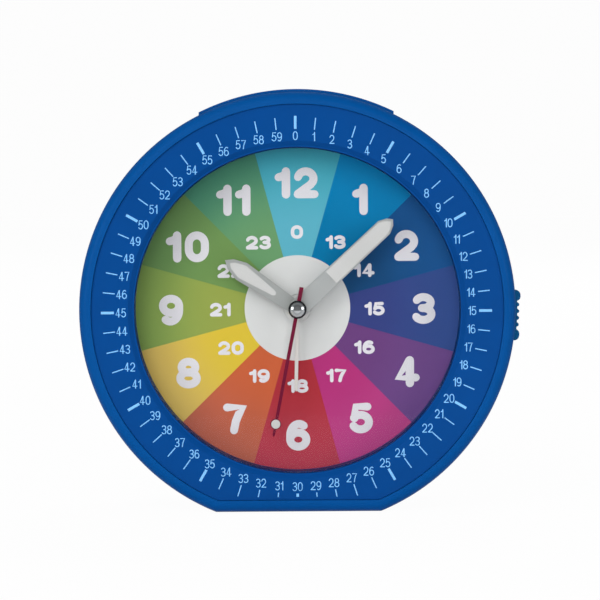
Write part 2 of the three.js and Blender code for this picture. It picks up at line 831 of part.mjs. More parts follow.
function secondsWheel() {
  const pinion = toothed(secondsPinionTeeth, shareOf(goingDistance, secondsPinionTeeth, thirdTeeth),
    layer("third"), layer("seconds") + layerThickness / 2);
  const mate = shareOf(intermediateDistance, secondsTeeth, intermediatePinionTeeth);
  const arbor = rod(secondArbor, handFront("second"), layer("seconds") + layerThickness);
  const pivot = rod(pivotRadius, layer("seconds"), pivotEnd, tinySides);
  return join(wheel(secondsTeeth, mate, "seconds"), pinion, arbor, pivot);
}
piece("seconds_wheel", secondsWheel(), "wheelWhite", onHand(secondsTurn));

function intermediateWheel() {
  const pinion = toothed(intermediatePinionTeeth,
    shareOf(intermediateDistance, intermediatePinionTeeth, secondsTeeth), layer("seconds"),
    layer("intermediate") + layerThickness / 2);
  const pitch = shareOf(rotorDistance, intermediateTeeth, rotorPinionTeeth);
  const disc = wheel(intermediateTeeth, pitch, "intermediate");
  return join(disc, pinion, rod(pivotRadius, plateFront, pivotEnd, tinySides));
}
piece("intermediate_wheel", intermediateWheel(), "wheelTan", standAt(intermediateSpot, intermediateTurn));

function rotor() {
  const pinion = toothed(rotorPinionTeeth, shareOf(rotorDistance, rotorPinionTeeth, intermediateTeeth),
    layer("intermediate"), magnetFront + layerThickness / 2);
  const magnet = rod(magnetRadius, magnetFront, magnetFront + rotorHeight, smallSides);
  return join(magnet, pinion, rod(pivotRadius, plateFront, pivotEnd, tinySides));
}
piece("rotor", rotor(), "black", standAt(rotorSpot, rotorTurn));

// Alarm contact: a leaf that stands on the plate beside the rim of the alarm wheel
function alarmContact() {
  const tip = shareOf(settingDistance, alarmTeeth, settingTeeth) * (1 + 2 * addendumShare / alarmTeeth);
  const low = -(tip + moveGap + bladeThickness);
  const leaf = block(-bladeWidth / 2, bladeWidth / 2, layer("alarm"), plateFront - seatGap, low,
    low + bladeThickness);
  const foot = block(-bladeWidth / 2, bladeWidth / 2, plateFront - seatGap - bladeThickness,
    plateFront - seatGap, low - bladeWidth, low + bladeThickness);
  return join(leaf, foot);
}
piece("alarm_contact", alarmContact(), "copper", onHand(bladeAngle - 180));

const knobFront = caseBack + moveGap;
const knobBack = knobFront + knobHeight;

function arbored(...parts) {
  const front = coverFront + movementWall / 2 + seatGap;
  return join(...parts, rod(pivotRadius, front, layer("hour"), tinySides));
}

function motionWheel() {
  const pinion = toothed(motionPinionTeeth, shareOf(motionDistance, motionPinionTeeth, hourTeeth),
    layer("hour"), layer("motion") + layerThickness / 2);
  const disc = wheel(motionTeeth, shareOf(motionDistance, motionTeeth, cannonTeeth), "motion");
  return arbored(disc, pinion, rod(arborRadius, layer("hour"), knobBack - knobHeight / 2, smallSides));
}
piece("motion_wheel", motionWheel(), "wheelWhite", standAt(motionSpot, motionTurn));

function alarmSettingWheel() {
  const pitch = shareOf(settingDistance, settingTeeth, alarmTeeth);
  const disc = toothed(settingTeeth, pitch, layer("alarm"), layer("alarm") + layerThickness);
  return arbored(disc, rod(arborRadius, layer("alarm"), knobBack - knobHeight / 2, smallSides));
}
piece("alarm_setting_wheel", alarmSettingWheel(), "wheelTan", standAt(settingSpot, 0));

// Knobs: fluted caps pushed on their arbors from behind
function knob() {
  const flutes = Array.from({ length: knobFlutes * 2 }, (_, i) => {
    const radius = knobRadius - (i % 2) * knobFluteDepth;
    const angle = (i * Math.PI) / knobFlutes;
    return [radius * Math.cos(angle), radius * Math.sin(angle)];
  });
  const body = slab(outlineShape(flutes), knobFront, knobBack);
  const dish = turned([[0, knobBack - knobDish], [knobRadius - knobCollar, knobBack - knobDish],
    [knobRadius - knobDish, knobBack + overrun], [0, knobBack + overrun]]);
  const bore = rod(arborRadius + gripGap * 2, knobFront - overrun, knobBack - knobHeight / 2 + seatGap,
    smallSides);
  return cut(body, dish, bore);
}
piece("time_knob", knob(), "darkBlue", standAt(motionSpot, 0));
piece("alarm_knob", knob(), "darkBlue", standAt(settingSpot, 0));

// Stepping motor: the stator round the rotor's magnet, and the coil on the stator's bar
function stator() {
  const [from, to] = [statorMiddle - statorThickness / 2, statorMiddle + statorThickness / 2];
  const ringRadius = magnetRadius + moveGap + statorRing;
  const [barLow, barHigh] = [-coilDrop - statorBar / 2, -coilDrop + statorBar / 2];
  const left = coilShift - coilLength / 2 - statorBar;
  const right = rotorSpot.x + statorBar / 2;
  const parts = [rod(ringRadius, from, to, roundSides, rotorSpot),
    block(right - statorBar, right, from, to, barLow, rotorSpot.z),
    block(left, right, from, to, barLow, barHigh)];
  const hole = rod(magnetRadius + moveGap, from - overrun, to + overrun, roundSides, rotorSpot);
  return cut(join(...parts), hole);
}
piece("stator", stator(), "steel", axisSpot);

const alongX = (geometry) => geometry.rotateZ(-Math.PI / 2);

function coil() {
  const half = coilLength / 2;
  const flange = coilRadius;
  const core = coilRadius - coilWaist;
  const profile = [[0, -half], [flange, -half], [flange, layerThickness - half],
    [core, layerThickness - half], [core, half - layerThickness], [flange, half - layerThickness],
    [flange, half], [0, half]];
  const spool = alongX(turned(profile)).translate(coilShift, statorMiddle, -coilDrop);
  const [x, y, z] = [half + overrun, statorThickness / 2 + runGap, statorBar / 2 + runGap];
  return cut(spool, block(coilShift - x, coilShift + x, statorMiddle - y, statorMiddle + y,
    -coilDrop - z, -coilDrop + z));
}
piece("coil", coil(), "copper", axisSpot);

// Springs: one unbroken wire each, with its ends square to its run
class Helix extends THREE.Curve {
  constructor(radius, endRadius, height, turns) {
    super();
    Object.assign(this, { radius, endRadius, height, turns });
  }
  getPoint(share, target = new THREE.Vector3()) {
    const angle = share * this.turns * 2 * Math.PI;
    const radius = this.radius + share * (this.endRadius - this.radius);
    return target.set(radius * Math.cos(angle), radius * Math.sin(angle), share * this.height);
  }
}

function spring(radius, endRadius, height, turns) {
  const section = Array.from({ length: springSides }, (_, i) => {
    const angle = (i / springSides) * 2 * Math.PI;
    return [springWire / 2 * Math.cos(angle), springWire / 2 * Math.sin(angle)];
  });
  const path = new Helix(radius, endRadius, height - springWire, turns);
  const settings = { steps: Math.round(turns * springSteps), extrudePath: path, bevelEnabled: false };
  return new THREE.ExtrudeGeometry(outlineShape(section), settings).translate(0, 0, springWire / 2);
}

// Snooze bar: an arc that stands a little proud of the case, on two sprung legs and a plunger
const barRadius = caseRadius + barProud;
const boardTop = axisHeight + caseRadius - boardInset;
const boardHeight = boardTop - axisHeight - moveHigh - boardGap;
const boardFront = carrierBack + carrierThickness + seatGap;
const boardBack = boardFront + boardThickness;
const plungerTop = boardTop + plungerProud;
const legSpot = (side) => ({ x: side * barLegPlace, y: barMiddle });
const plungerSpot = { x: 0, y: boardBack + seatGap + switchDepth / 2 };

function arcPoints(radius, half, steps) {
  const reach = Math.asin(half / radius);
  return Array.from({ length: steps + 1 }, (_, i) => {
    const angle = -reach + (2 * reach * i) / steps;
    return [radius * Math.sin(angle), axisHeight + radius * Math.cos(angle)];
  });
}

function snoozeBar() {
  const top = arcPoints(barRadius, barHalfLength - barEdge, arcSteps / 4);
  const under = arcPoints(barUnder, barHalfLength, arcSteps / 4).reverse();
  const [endX, endZ] = [barHalfLength, top[0][1] - barEdge];
  const outline = outlineShape([[-endX, endZ], ...top, [endX, endZ], ...under]);
  const settings = { depth: barWidth - 2 * barEdge, bevelThickness: barEdge, bevelSize: barEdge,
    bevelOffset: -barEdge, bevelSegments: 2 };
  const arc = new THREE.ExtrudeGeometry(outline, settings).rotateX(Math.PI / 2)
    .translate(0, barBack - barEdge, 0);
  const legs = [-1, 1].map((side) =>
    upright(barLegRadius, legSpot(side), legTop - barLegReach, legTop + barThickness / 2));
  const plunger = upright(barLegRadius, plungerSpot, plungerTop + seatGap,
    axisHeight + barUnder + barThickness / 2);
  return join(arc, ...legs, plunger);
}
piece("snooze_bar", snoozeBar(), "caseBlue");

for (const [name, side] of [["snooze_spring_left", -1], ["snooze_spring_right", 1]]) {
  const coilSpring = spring(springRadius, springRadius, springHeight - seatGap, springTurns);
  piece(name, coilSpring, "steel", { ...legSpot(side), z: shelfTop + seatGap });
}

// Electronics: the board on the carrier's rim, the switch under the bar and the buzzer
function circuitBoard() {
  const half = boardLength / 2;
  return block(-half, half, boardFront, boardBack, boardTop - boardHeight, boardTop);
}
piece("circuit_board", circuitBoard(), "board");

function snoozeSwitch() {
  const half = switchSize / 2;
  const back = boardBack + seatGap;
  const body = block(-half, half, back, back + switchDepth, boardTop - switchSize, boardTop);
  return cut(body, upright(plungerRadius + runGap, plungerSpot, boardTop - switchSize / 2,
    boardTop + overrun));
}
piece("snooze_switch", snoozeSwitch(), "black");
const plungerLow = boardTop - switchSize / 2 + barTravel + seatGap;
piece("snooze_plunger", upright(plungerRadius, plungerSpot, plungerLow, plungerTop), "alarmPale");

function quartzCan() {
  const place = { x: boardLength / 2 - quartzLength, y: boardBack + seatGap + quartzRadius };
  return alongX(rod(quartzRadius, -quartzLength / 2, quartzLength / 2, smallSides))
    .translate(place.x, place.y, boardTop - boardHeight / 2);
}
piece("quartz_can", quartzCan(), "steel");

const innerBack = caseBack - backWall;
const buzzerBack = innerBack - seatGap;
function buzzer() {
  const front = buzzerBack - buzzerHeight;
  const can = turned([[0, front], [buzzerRadius - buzzerCollar, front], [buzzerRadius, front + buzzerCollar],
    [buzzerRadius, buzzerBack], [0, buzzerBack]]);
  return cut(can, rod(buzzerHole, buzzerBack - buzzerHeight / 2, buzzerBack + overrun, smallSides));
}
piece("buzzer", buzzer(), "black", { z: axisHeight + buzzerRise });

// Rear cover: a shallow cup with the battery bay, screw wells, sound slots and knob holes
const bayBack = caseBack - doorThickness - seatGap;
const bayFront = bayBack - bayDepth;
const [bayHalf, bayTop] = [bayLength / 2, bayFloor + bayHeight];
const recessLow = bayFloor - doorMargin;
const recessHigh = bayTop + doorMargin;
const hinge = { y: caseBack - doorThickness / 2, z: recessLow + doorPlay + doorThickness / 2 };

function coverShell() {
  const outside = [[0, caseSplit + seatGap], ...roundedEdge(backEdge, caseBack, 1)];
  const inside = [[backEdge, innerBack], [wall, innerBack - backEdge + wall], [wall, caseSplit + seatGap]];
  return loft([...inside, ...outside].map(([inset, y]) => caseOutline(inset, y)), false);
}

function bayBlock() {
  const side = bayHalf + bayWall;
  const tray = block(-side, side, bayFront - bayWall, innerBack + backWall / 2,
    bayFloor - bayWall, bayTop + bayWall);
  const rim = bayHalf + doorMargin + bayCollar;
  const collar = block(-rim, rim, innerBack - bayCollarDepth, innerBack + backWall / 2,
    recessLow - bayCollar, recessHigh + bayCollar);
  return join(tray, collar);
}

const tabPlaces = [-doorTabPlace, doorTabPlace];

function bayCuts() {
  const side = bayHalf + doorMargin;
  const open = block(-bayHalf, bayHalf, bayFront, caseBack + overrun, bayFloor, bayTop);
  const recess = block(-side, side, bayBack, caseBack + overrun, recessLow, recessHigh);
  const notch = block(-latchWidth / 2, latchWidth / 2, bayBack, caseBack + overrun,
    recessHigh - doorMargin, recessHigh + latchReach);
  const half = doorTabWidth / 2 + moveGap;
  const pockets = tabPlaces.map((x) => block(x - half, x + half,
    bayBack - doorTabReach - moveGap, bayBack + overrun, recessLow, bayFloor + overrun));
  return [open, recess, notch, ...pockets];
}

function soundSlots() {
  return Array.from({ length: slotCount }, (_, i) => {
    const x = (i - (slotCount - 1) / 2) * slotPitch;
    const rise = axisHeight + buzzerRise;
    return block(x - slotWidth / 2, x + slotWidth / 2, innerBack - seatGap, caseBack + overrun,
      rise - slotHeight / 2, rise + slotHeight / 2);
  });
}

function rearCover() {
  const wells = screwSpots.map((place) =>
    rod(postRadius, caseSplit + seatGap, innerBack + backWall / 2, smallSides, place));
  const buzzerSpot = { x: 0, z: axisHeight + buzzerRise };
  const buzzerRing = tube(buzzerRadius + seatGap + bayWall, buzzerRadius + seatGap,
    buzzerBack - buzzerHeight / 2, innerBack + backWall / 2, roundSides, buzzerSpot);
  const solid = join(coverShell(), bayBlock(), ...wells, buzzerRing);
  const holes = screwSpots.flatMap((place) => [
    rod(screwShank + seatGap, caseSplit - overrun, caseBack + overrun, smallSides, place),
    rod(screwHeadRadius + seatGap, caseBack - screwSink, caseBack + overrun, smallSides, place)]);
  const knobHoles = [motionSpot, settingSpot].map((place) =>
    rod(arborRadius + moveGap, innerBack - overrun, caseBack + overrun, smallSides,
      { x: place.x, z: axisHeight + place.z }));
  return cut(solid, ...bayCuts(), ...soundSlots(), ...holes, ...knobHoles);
}
piece("rear_cover", rearCover(), "backBlue");

// Battery door: a plate with a round lower edge that turns on two tabs behind the cover
function across(shape, xFrom, xTo) {
  const settings = { depth: xTo - xFrom, bevelEnabled: false, curveSegments: 4 };
  const turn = new THREE.Matrix4().makeBasis(new THREE.Vector3(0, 1, 0), new THREE.Vector3(0, 0, 1),
    new THREE.Vector3(1, 0, 0));
  return new THREE.ExtrudeGeometry(shape, settings).applyMatrix4(turn).translate(xFrom, 0, 0);
}

function batteryDoor() {
  const half = doorThickness / 2;
  const plate = new THREE.Shape();
  plate.moveTo(hinge.y + half, recessHigh - doorPlay);
  plate.lineTo(hinge.y - half, recessHigh - doorPlay);
  plate.lineTo(hinge.y - half, hinge.z);
  plate.absarc(hinge.y, hinge.z, half, Math.PI, 2 * Math.PI);
  plate.closePath();
  const side = bayHalf + doorMargin - doorPlay;
  const tabs = tabPlaces.map((x) => block(x - doorTabWidth / 2, x + doorTabWidth / 2,
    hinge.y - half - doorTabReach, hinge.y, hinge.z - half / 2, hinge.z + half / 2));
  const grooves = Array.from({ length: doorRibs }, (_, i) => {
    const z = bayTop - (2 * i + 1) * doorRibWidth;
    return block(-latchWidth, latchWidth, caseBack - doorRibDepth, caseBack + overrun, z, z + doorRibWidth);
  });
  return cut(join(across(plate, -side, side), ...tabs), ...grooves);
}
piece("battery_door", batteryDoor(), "backBlue");

// Battery with its plus end to the right, a plate there and a coil spring at the other end
const cellSpot = { y: bayFront + bayDepth / 2, z: bayFloor + bayHeight / 2 };
const cellEnd = bayHalf - contactThickness - 2 * seatGap;

function battery() {
  const [start, shoulder] = [cellEnd - cellLength, cellEnd - cellNubLength];
  const edge = cellNubLength / 2;
  const profile = [[0, start], [cellRadius - edge, start], [cellRadius, start + edge],
    [cellRadius, shoulder - edge], [cellRadius - edge, shoulder], [cellNubRadius, shoulder],
    [cellNubRadius, cellEnd], [0, cellEnd]];
  return alongX(turned(profile)).translate(0, cellSpot.y, cellSpot.z);
}
piece("battery", battery(), "cell");

function contactPlus() {
  const outer = bayHalf - seatGap;
  const half = contactWidth / 2;
  return block(outer - contactThickness, outer, cellSpot.y - half, cellSpot.y + half,
    cellSpot.z - half, cellSpot.z + half);
}
piece("contact_plus", contactPlus(), "steel");

function contactMinus() {
  const length = 2 * bayHalf - (bayHalf - cellEnd) - cellLength - 2 * seatGap;
  const cone = spring(contactCoilRadius * 2, contactCoilRadius, length, contactCoilTurns);
  return cone.rotateY(Math.PI / 2).translate(seatGap - bayHalf, cellSpot.y, cellSpot.z);
}
piece("contact_minus", contactMinus(), "steel");

// Alarm slider: a grip with humped ends and teeth outside, a plate and a lever inside
const plateReach = sliderDrop + sliderLength / 2 + sliderTravel + 2 * moveGap;
const plateOuter = Math.sqrt(innerRadius ** 2 - plateReach ** 2) - moveGap;

function sliderGrip() {
  const [low, high] = [sliderMiddle - sliderLength / 2, sliderMiddle + sliderLength / 2];
  const top = caseRadius + sliderProud;
  const run = (sliderTeeth * sliderToothPitch) / 2;
  const teeth = Array.from({ length: sliderTeeth }, (_, i) => sliderMiddle - run + i * sliderToothPitch)
    .flatMap((z) => [[top - sliderToothDepth, z], [top, z + sliderToothPitch / 2]]);
  const humps = [[low, 1], [high, -1]].map(([end, side]) => [
    [caseRadius, end], [top - sliderToothDepth / 2, end + side * sliderToothDepth / 2],
    [top, end + side * sliderToothDepth * 2], [top, end + side * (sliderHump - sliderToothDepth)]]);
  return [[plateOuter - sliderPlate / 2, low], ...humps[0], ...teeth,
    [top - sliderToothDepth, sliderMiddle + run], ...humps[1].reverse(),
    [plateOuter - sliderPlate / 2, high]];
}

function alarmSlider() {
  const half = sliderWidth / 2;
  const grip = slab(outlineShape(sliderGrip()), sliderY - half, sliderY + half);
  const side = half + sliderPlate;
  const rise = sliderLength / 2 + sliderTravel + 2 * moveGap;
  const plate = block(plateOuter - sliderPlate, plateOuter, sliderY - side, sliderY + side,
    sliderMiddle - rise, sliderMiddle + rise);
  return join(grip, plate);
}
piece("alarm_slider", alarmSlider(), "darkBlue");

const leverOuter = plateOuter - sliderPlate - seatGap;
const switchOuter = leverOuter - 2 * seatGap;
const switchInner = flangeRadius + 2 * moveGap;
function slideSwitch() {
  const [half, deep] = [slideSwitchLength / 2, slideSwitchDepth / 2];
  const body = block(switchInner, switchOuter, sliderY - deep, sliderY + deep,
    sliderMiddle - half, sliderMiddle + half);
  const track = block(switchOuter - leverLength, switchOuter + overrun, sliderY - leverLength / 2 - runGap,
    sliderY + leverLength / 2 + runGap, sliderMiddle - leverLength / 2 - moveGap,
    sliderMiddle + leverLength / 2 + sliderTravel + moveGap);
  return cut(body, track);
}
piece("slide_switch", slideSwitch(), "black");

function switchLever() {
  const half = leverLength / 2;
  return block(switchOuter - leverLength + seatGap, leverOuter, sliderY - half, sliderY + half,
    sliderMiddle - half, sliderMiddle + half);
}
piece("slide_switch_lever", switchLever(), "alarmPale");

// Screws: four through the back cover into the case, four that hold the carrier
function screw(head, height, shank, length) {
  const profile = [[0, -length], [shank * screwTipShare, -length], [shank, shank - length],
    [shank, -height], [head, -height], [head, -height * screwBevelShare], [head * screwTopShare, 0], [0, 0]];
  return turned(profile, smallSides);
}

function crossSlot(head, height) {
  const slot = (turn) => block(-head, head, -height / 2, overrun, -screwSlot / 2, screwSlot / 2)
    .rotateY(turn);
  return join(slot(0), slot(Math.PI / 2));
}

const headBack = caseBack - screwSink + screwHeadHeight + seatGap;
screwSpots.forEach((place, i) => {
  const length = headBack - caseSplit + screwLength - screwShank;
  const body = screw(screwHeadRadius, screwHeadHeight, screwShank, length);
  const slotted = cut(body, crossSlot(screwHeadRadius, screwHeadHeight));
  piece(`case_screw_${i + 1}`, slotted, "steel", { ...place, y: headBack });
});

const smallHeadBack = carrierBack + seatGap + smallScrewHead / 2;
smallScrewSpots.forEach((place, i) => {
  const body = screw(smallScrewHead, smallScrewHead / 2, smallScrewShank, smallScrewLength);
  piece(`carrier_screw_${i + 1}`, body, "steel", { ...standAt(place, 0), y: smallHeadBack });
});

export default clock;
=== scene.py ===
# %% [markdown]
# # A teaching alarm clock
#
# The clock is a round blue case, cut flat below, with a scale of minutes round a deep dial. The
# dial is printed in twelve colours, one for each hour. This lesson dresses the solid model of the
# clock: it loads the solids as a fixed frame, models the visible pieces again with finer edges,
# prints the scale and the numerals on them, and gives every piece a finish made of nodes. Blender
# counts in metres, Z is up and the dial looks to -Y. The hands' axis runs along Y, 53.2 mm above
# the foot. Drawings are in millimetres here, as in a workshop, and mm turns them into metres.

# %% Load the frame
import math
import bmesh
import bpy
from mathutils import Matrix, Vector


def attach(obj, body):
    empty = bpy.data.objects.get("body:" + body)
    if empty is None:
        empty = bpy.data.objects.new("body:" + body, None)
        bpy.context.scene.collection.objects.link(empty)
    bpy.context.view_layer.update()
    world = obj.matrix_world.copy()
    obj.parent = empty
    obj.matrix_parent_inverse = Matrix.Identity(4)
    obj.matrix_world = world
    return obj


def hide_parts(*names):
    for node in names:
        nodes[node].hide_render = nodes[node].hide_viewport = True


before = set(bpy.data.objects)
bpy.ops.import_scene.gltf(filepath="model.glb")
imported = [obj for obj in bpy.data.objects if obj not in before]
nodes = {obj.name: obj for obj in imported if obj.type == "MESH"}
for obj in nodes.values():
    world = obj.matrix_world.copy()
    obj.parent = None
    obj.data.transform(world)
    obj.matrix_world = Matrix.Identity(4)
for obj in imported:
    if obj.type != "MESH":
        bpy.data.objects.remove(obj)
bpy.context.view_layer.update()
mm = 0.001
axis_z = 53.2  # the hands' axis above the foot, in millimetres
axis_height = axis_z * mm
middle = Vector((0, 0, axis_height))

# %% [markdown]
# ## Camera
#
# The clock is seen from straight in front and from a few degrees above, with a long lens, so its
# round outline stays round. The distance fixes how much of the throat's wall shows round the dial,
# and the lens follows from the width that the picture takes in at the front of the clock. A camera
# held by hand is seldom quite level, so this one is rolled by a fraction of a degree.

# %% Camera
view_width = 157.6 * mm
view_distance = 0.8
view_rise = math.radians(3.0)
view_roll = math.radians(0.38)
film_width = 36
aim = Vector((0.7 * mm, -22.5 * mm, 56.05 * mm))
bpy.ops.object.camera_add()
camera = bpy.context.object
camera.name = "camera"
camera.data.sensor_width = film_width
camera.data.lens = film_width * view_distance / view_width
camera.data.clip_end = 20
back_off = Vector((0, -math.cos(view_rise), math.sin(view_rise)))
camera.location = aim + view_distance * back_off
raised = Matrix.Rotation(math.radians(90) - view_rise, 3, "X")
camera.rotation_euler = (raised @ Matrix.Rotation(-view_roll, 3, "Z")).to_euler()
bpy.context.scene.camera = camera
print("lens", round(camera.data.lens, 1), "mm")

# %% [markdown]
# ## Floor, backdrop and light
#
# The clock stands on a plain white sweep, a sheet that runs along the floor and turns up behind. To
# the camera, to gloss and to glass the sweep is mostly a flat white, mixed in with Light Path, so
# the ground stays clean. The share that is left is plain diffuse and keeps the clock's soft shadow.
# Gloss sees it grey behind the clock, because white would draw a pale line round the case. The
# sweep ends 0.3 m in front, where the white floor would only haze the dial.
#
# Five square panels light the clock, as in a small studio for products: one in front, one above,
# one on either side and one for the back. Only the two at the sides show in gloss, as the bright
# spots on the chrome cap. Large panels seen in gloss would lay a veil over the colours.

# %% Helpers for finishes
class Socket:
    """A value in a material. Sums and products of it add their own nodes."""

    def __init__(self, finish, out):
        self.finish = finish
        self.out = out

    def __add__(self, other):
        return self.finish.math("ADD", self, other)

    def __sub__(self, other):
        return self.finish.math("SUBTRACT", self, other)

    def __rsub__(self, other):
        return self.finish.math("SUBTRACT", other, self)

    def __mul__(self, other):
        return self.finish.math("MULTIPLY", self, other)

    def __truediv__(self, other):
        return self.finish.math("DIVIDE", self, other)

    def __gt__(self, other):
        return self.finish.math("GREATER_THAN", self, other)

    __radd__ = __add__
    __rmul__ = __mul__


class Finish:
    """A material with one Principled shader. A node is added with its settings and its inputs."""

    def __init__(self, name, **constants):
        self.material = bpy.data.materials.new(name)
        self.material.use_nodes = True
        self.tree = self.material.node_tree
        self.shader = self.tree.nodes["Principled BSDF"]
        self.feed(self.shader, {key.replace("_", " "): value for key, value in constants.items()})

    def feed(self, node, values):
        """Sets a node's inputs to plain values, or links sockets to them."""
        for key, value in values.items():
            if isinstance(value, Socket):
                self.tree.links.new(value.out, node.inputs[key])
            else:
                node.inputs[key].default_value = value

    def node(self, kind, settings=None, values=None, output=0):
        """Adds a node, with its settings first and its inputs after, and returns one output."""
        node = self.tree.nodes.new(kind)
        for key, value in (settings or {}).items():
            if key == "stops":
                fill_ramp(node.color_ramp, value)
            else:
                setattr(node, key, value)
        self.feed(node, values or {})
        return Socket(self, node.outputs[output])

    def math(self, operation, *values):
        return self.node("ShaderNodeMath", {"operation": operation}, dict(enumerate(values)))

    def place(self, letter=None):
        """The place on the clock, or how far it is along X, Y or Z."""
        spot = self.node("ShaderNodeTexCoord", output="Object")
        return self.node("ShaderNodeSeparateXYZ", None, {0: spot}, letter) if letter else spot

    def colour(self):
        """What feeds the base colour so far."""
        return Socket(self, self.shader.inputs["Base Color"].links[0].from_socket)

    def blend(self, share, first, second):
        """A colour between two colours."""
        values = {"Factor": share, 6: first, 7: second}
        return self.node("ShaderNodeMix", {"data_type": "RGBA"}, values, output=2)

    def noise(self, size, detail=2):
        """Noise whose lumps are about size across."""
        values = {"Vector": self.place(), "Scale": 1 / size, "Detail": detail}
        return self.node("ShaderNodeTexNoise", None, values)

    def bump(self, height, depth):
        """Lets a height between 0 and 1 stand for a relief of some depth."""
        values = {"Height": height, "Distance": depth}
        self.feed(self.shader, {"Normal": self.node("ShaderNodeBump", None, values)})


def fill_ramp(ramp, stops):
    """Fills a ramp from its interpolation and its stops, a list of (place, colour)."""
    ramp.interpolation = stops[0]
    for place, colour in stops[1][2:]:
        ramp.elements.new(place)
    for element, (place, colour) in zip(ramp.elements, stops[1]):
        element.position = place
        element.color = colour


def paint(red, green, blue):
    """A colour as it looks on a screen, 0 to 255, as the linear colour that a shader takes."""
    def linear(level):
        level /= 255
        return level / 12.92 if level <= 0.04045 else ((level + 0.055) / 1.055) ** 2.4
    return (linear(red), linear(green), linear(blue), 1)


print("case blue as linear light:", [round(level, 3) for level in paint(2, 75, 143)])

# %% World
world = bpy.data.worlds.new("studio")
bpy.context.scene.world = world
world.use_nodes = True


def studio_node(kind, values, output=0, **settings):
    """Adds a node to the world, with its settings and its inputs."""
    node = world.node_tree.nodes.new(kind)
    for key, value in settings.items():
        setattr(node, key, value)
    for key, value in values.items():
        if hasattr(value, "is_output"):
            world.node_tree.links.new(value, node.inputs[key])
        else:
            node.inputs[key].default_value = value
    return node.outputs[output]


def plain_light(strength):
    return studio_node("ShaderNodeBackground", {"Color": (1, 1, 1, 1), "Strength": strength})


ray = world.node_tree.nodes.new("ShaderNodeLightPath").outputs
direction = studio_node("ShaderNodeTexCoord", {}, "Generated")
ahead = studio_node("ShaderNodeSeparateXYZ", {0: direction}, "Y")
in_gloss = studio_node("ShaderNodeMapRange", {"Value": ahead, "From Min": -0.9, "From Max": 0.1,
                                              "To Min": 0.25, "To Max": 0.7})
lit_or_gloss = studio_node("ShaderNodeMixShader", {0: ray["Is Glossy Ray"], 1: plain_light(0.3),
                                                   2: plain_light(in_gloss)})
seen = studio_node("ShaderNodeMath", {0: ray["Is Camera Ray"], 1: ray["Is Transmission Ray"]},
                   operation="MAXIMUM")
studio = studio_node("ShaderNodeMixShader", {0: seen, 1: lit_or_gloss, 2: plain_light(1)})
world.node_tree.links.new(studio, world.node_tree.nodes["World Output"].inputs["Surface"])
print("world nodes", len(world.node_tree.nodes))

# %% Finish of the sweep
flat_white_share = 0.97
white, grey = (1, 1, 1, 1), (0.2, 0.2, 0.2, 1)
sweep_finish = Finish("sweep", Base_Color=(0.9, 0.9, 0.9, 1), Roughness=0.9)
light_path = sweep_finish.tree.nodes.new("ShaderNodeLightPath")
camera_ray, glossy_ray, clear_ray = [Socket(sweep_finish, light_path.outputs[f"Is {kind} Ray"])
                                     for kind in ("Camera", "Glossy", "Transmission")]
seen_share = sweep_finish.math("MAXIMUM", sweep_finish.math("MAXIMUM", camera_ray, glossy_ray),
                               clear_ray)
behind_clock = sweep_finish.place("Y") > 60 * mm
backdrop = sweep_finish.blend(glossy_ray * behind_clock, white, grey)
glow = sweep_finish.node("ShaderNodeEmission", None, {"Color": backdrop, "Strength": 1.0})
plain = Socket(sweep_finish, sweep_finish.shader.outputs[0])
mixed = sweep_finish.node("ShaderNodeMixShader", None,
                          {0: seen_share * flat_white_share, 1: plain, 2: glow})
sweep_finish.feed(sweep_finish.tree.nodes["Material Output"], {"Surface": mixed})
print("sweep nodes", len(sweep_finish.tree.nodes))

# %% Sweep
sweep_front = -0.3
bpy.ops.object.select_all(action="DESELECT")
bpy.ops.mesh.primitive_plane_add(size=6)
sweep = bpy.context.object
sweep.name = "sweep"
bpy.ops.object.mode_set(mode="EDIT")
bpy.ops.mesh.select_mode(type="EDGE")
bpy.ops.mesh.select_all(action="DESELECT")
shape = bmesh.from_edit_mesh(sweep.data)
for edge in shape.edges:
    edge.select_set(all(v.co.y > 0 for v in edge.verts))
bmesh.update_edit_mesh(sweep.data)
bpy.ops.mesh.extrude_edges_move(TRANSFORM_OT_translate={"value": (0, 0, 4)})
bpy.ops.object.mode_set(mode="OBJECT")
for vertex in sweep.data.vertices:
    vertex.co.y = max(vertex.co.y, sweep_front)
sweep.data.materials.append(sweep_finish.material)
print("sweep", [round(size, 2) for size in sweep.dimensions], "m")

# %% Lamps
for name, place, size, power in (("panel_front", (-0.1, -1.6, 0.3), 0.9, 8.6),
                                 ("panel_above", (-0.45, -1.0, 0.9), 0.8, 6.2),
                                 ("panel_left", (-0.9, -0.95, 0.25), 0.5, 2.9),
                                 ("panel_right", (0.9, -0.95, 0.25), 0.5, 2.9),
                                 ("panel_back", (0.3, 1.3, 1.1), 0.9, 11.0)):
    bpy.ops.object.light_add(type="AREA", location=place)
    lamp = bpy.context.object
    lamp.name = name
    lamp.data.shape = "SQUARE"
    lamp.data.size = size
    lamp.data.energy = power
    towards = middle - Vector(place)
    lamp.rotation_euler = towards.to_track_quat("-Z", "Y").to_euler()
    lamp.visible_glossy = name in ("panel_left", "panel_right")
bpy.context.scene.view_settings.view_transform = "Standard"

# %% [markdown]
# ## Tools for modelling
#
# Every piece is made as one would by hand: a primitive is added, shaped in edit mode, and finished
# with modifiers. Three helpers carry most of the work. One rounds the edges that pass a test on
# their place. One turns a profile round an axis, as on a lathe. One makes the clock's own outline,
# a disc cut flat below. A cut is made with a Boolean modifier, as a machinist takes material away.

# %% Adding, holding and copying
def add(operator, name, **settings):
    """Adds a primitive and puts its place in its mesh."""
    bpy.ops.object.select_all(action="DESELECT")
    operator(**settings)
    piece = bpy.context.object
    piece.name = piece.data.name = name
    bpy.ops.object.transform_apply(location=True, rotation=True, scale=True)
    return piece


def hold(piece):
    """Selects one piece and nothing else."""
    bpy.ops.object.select_all(action="DESELECT")
    bpy.context.view_layer.objects.active = piece
    piece.select_set(True)


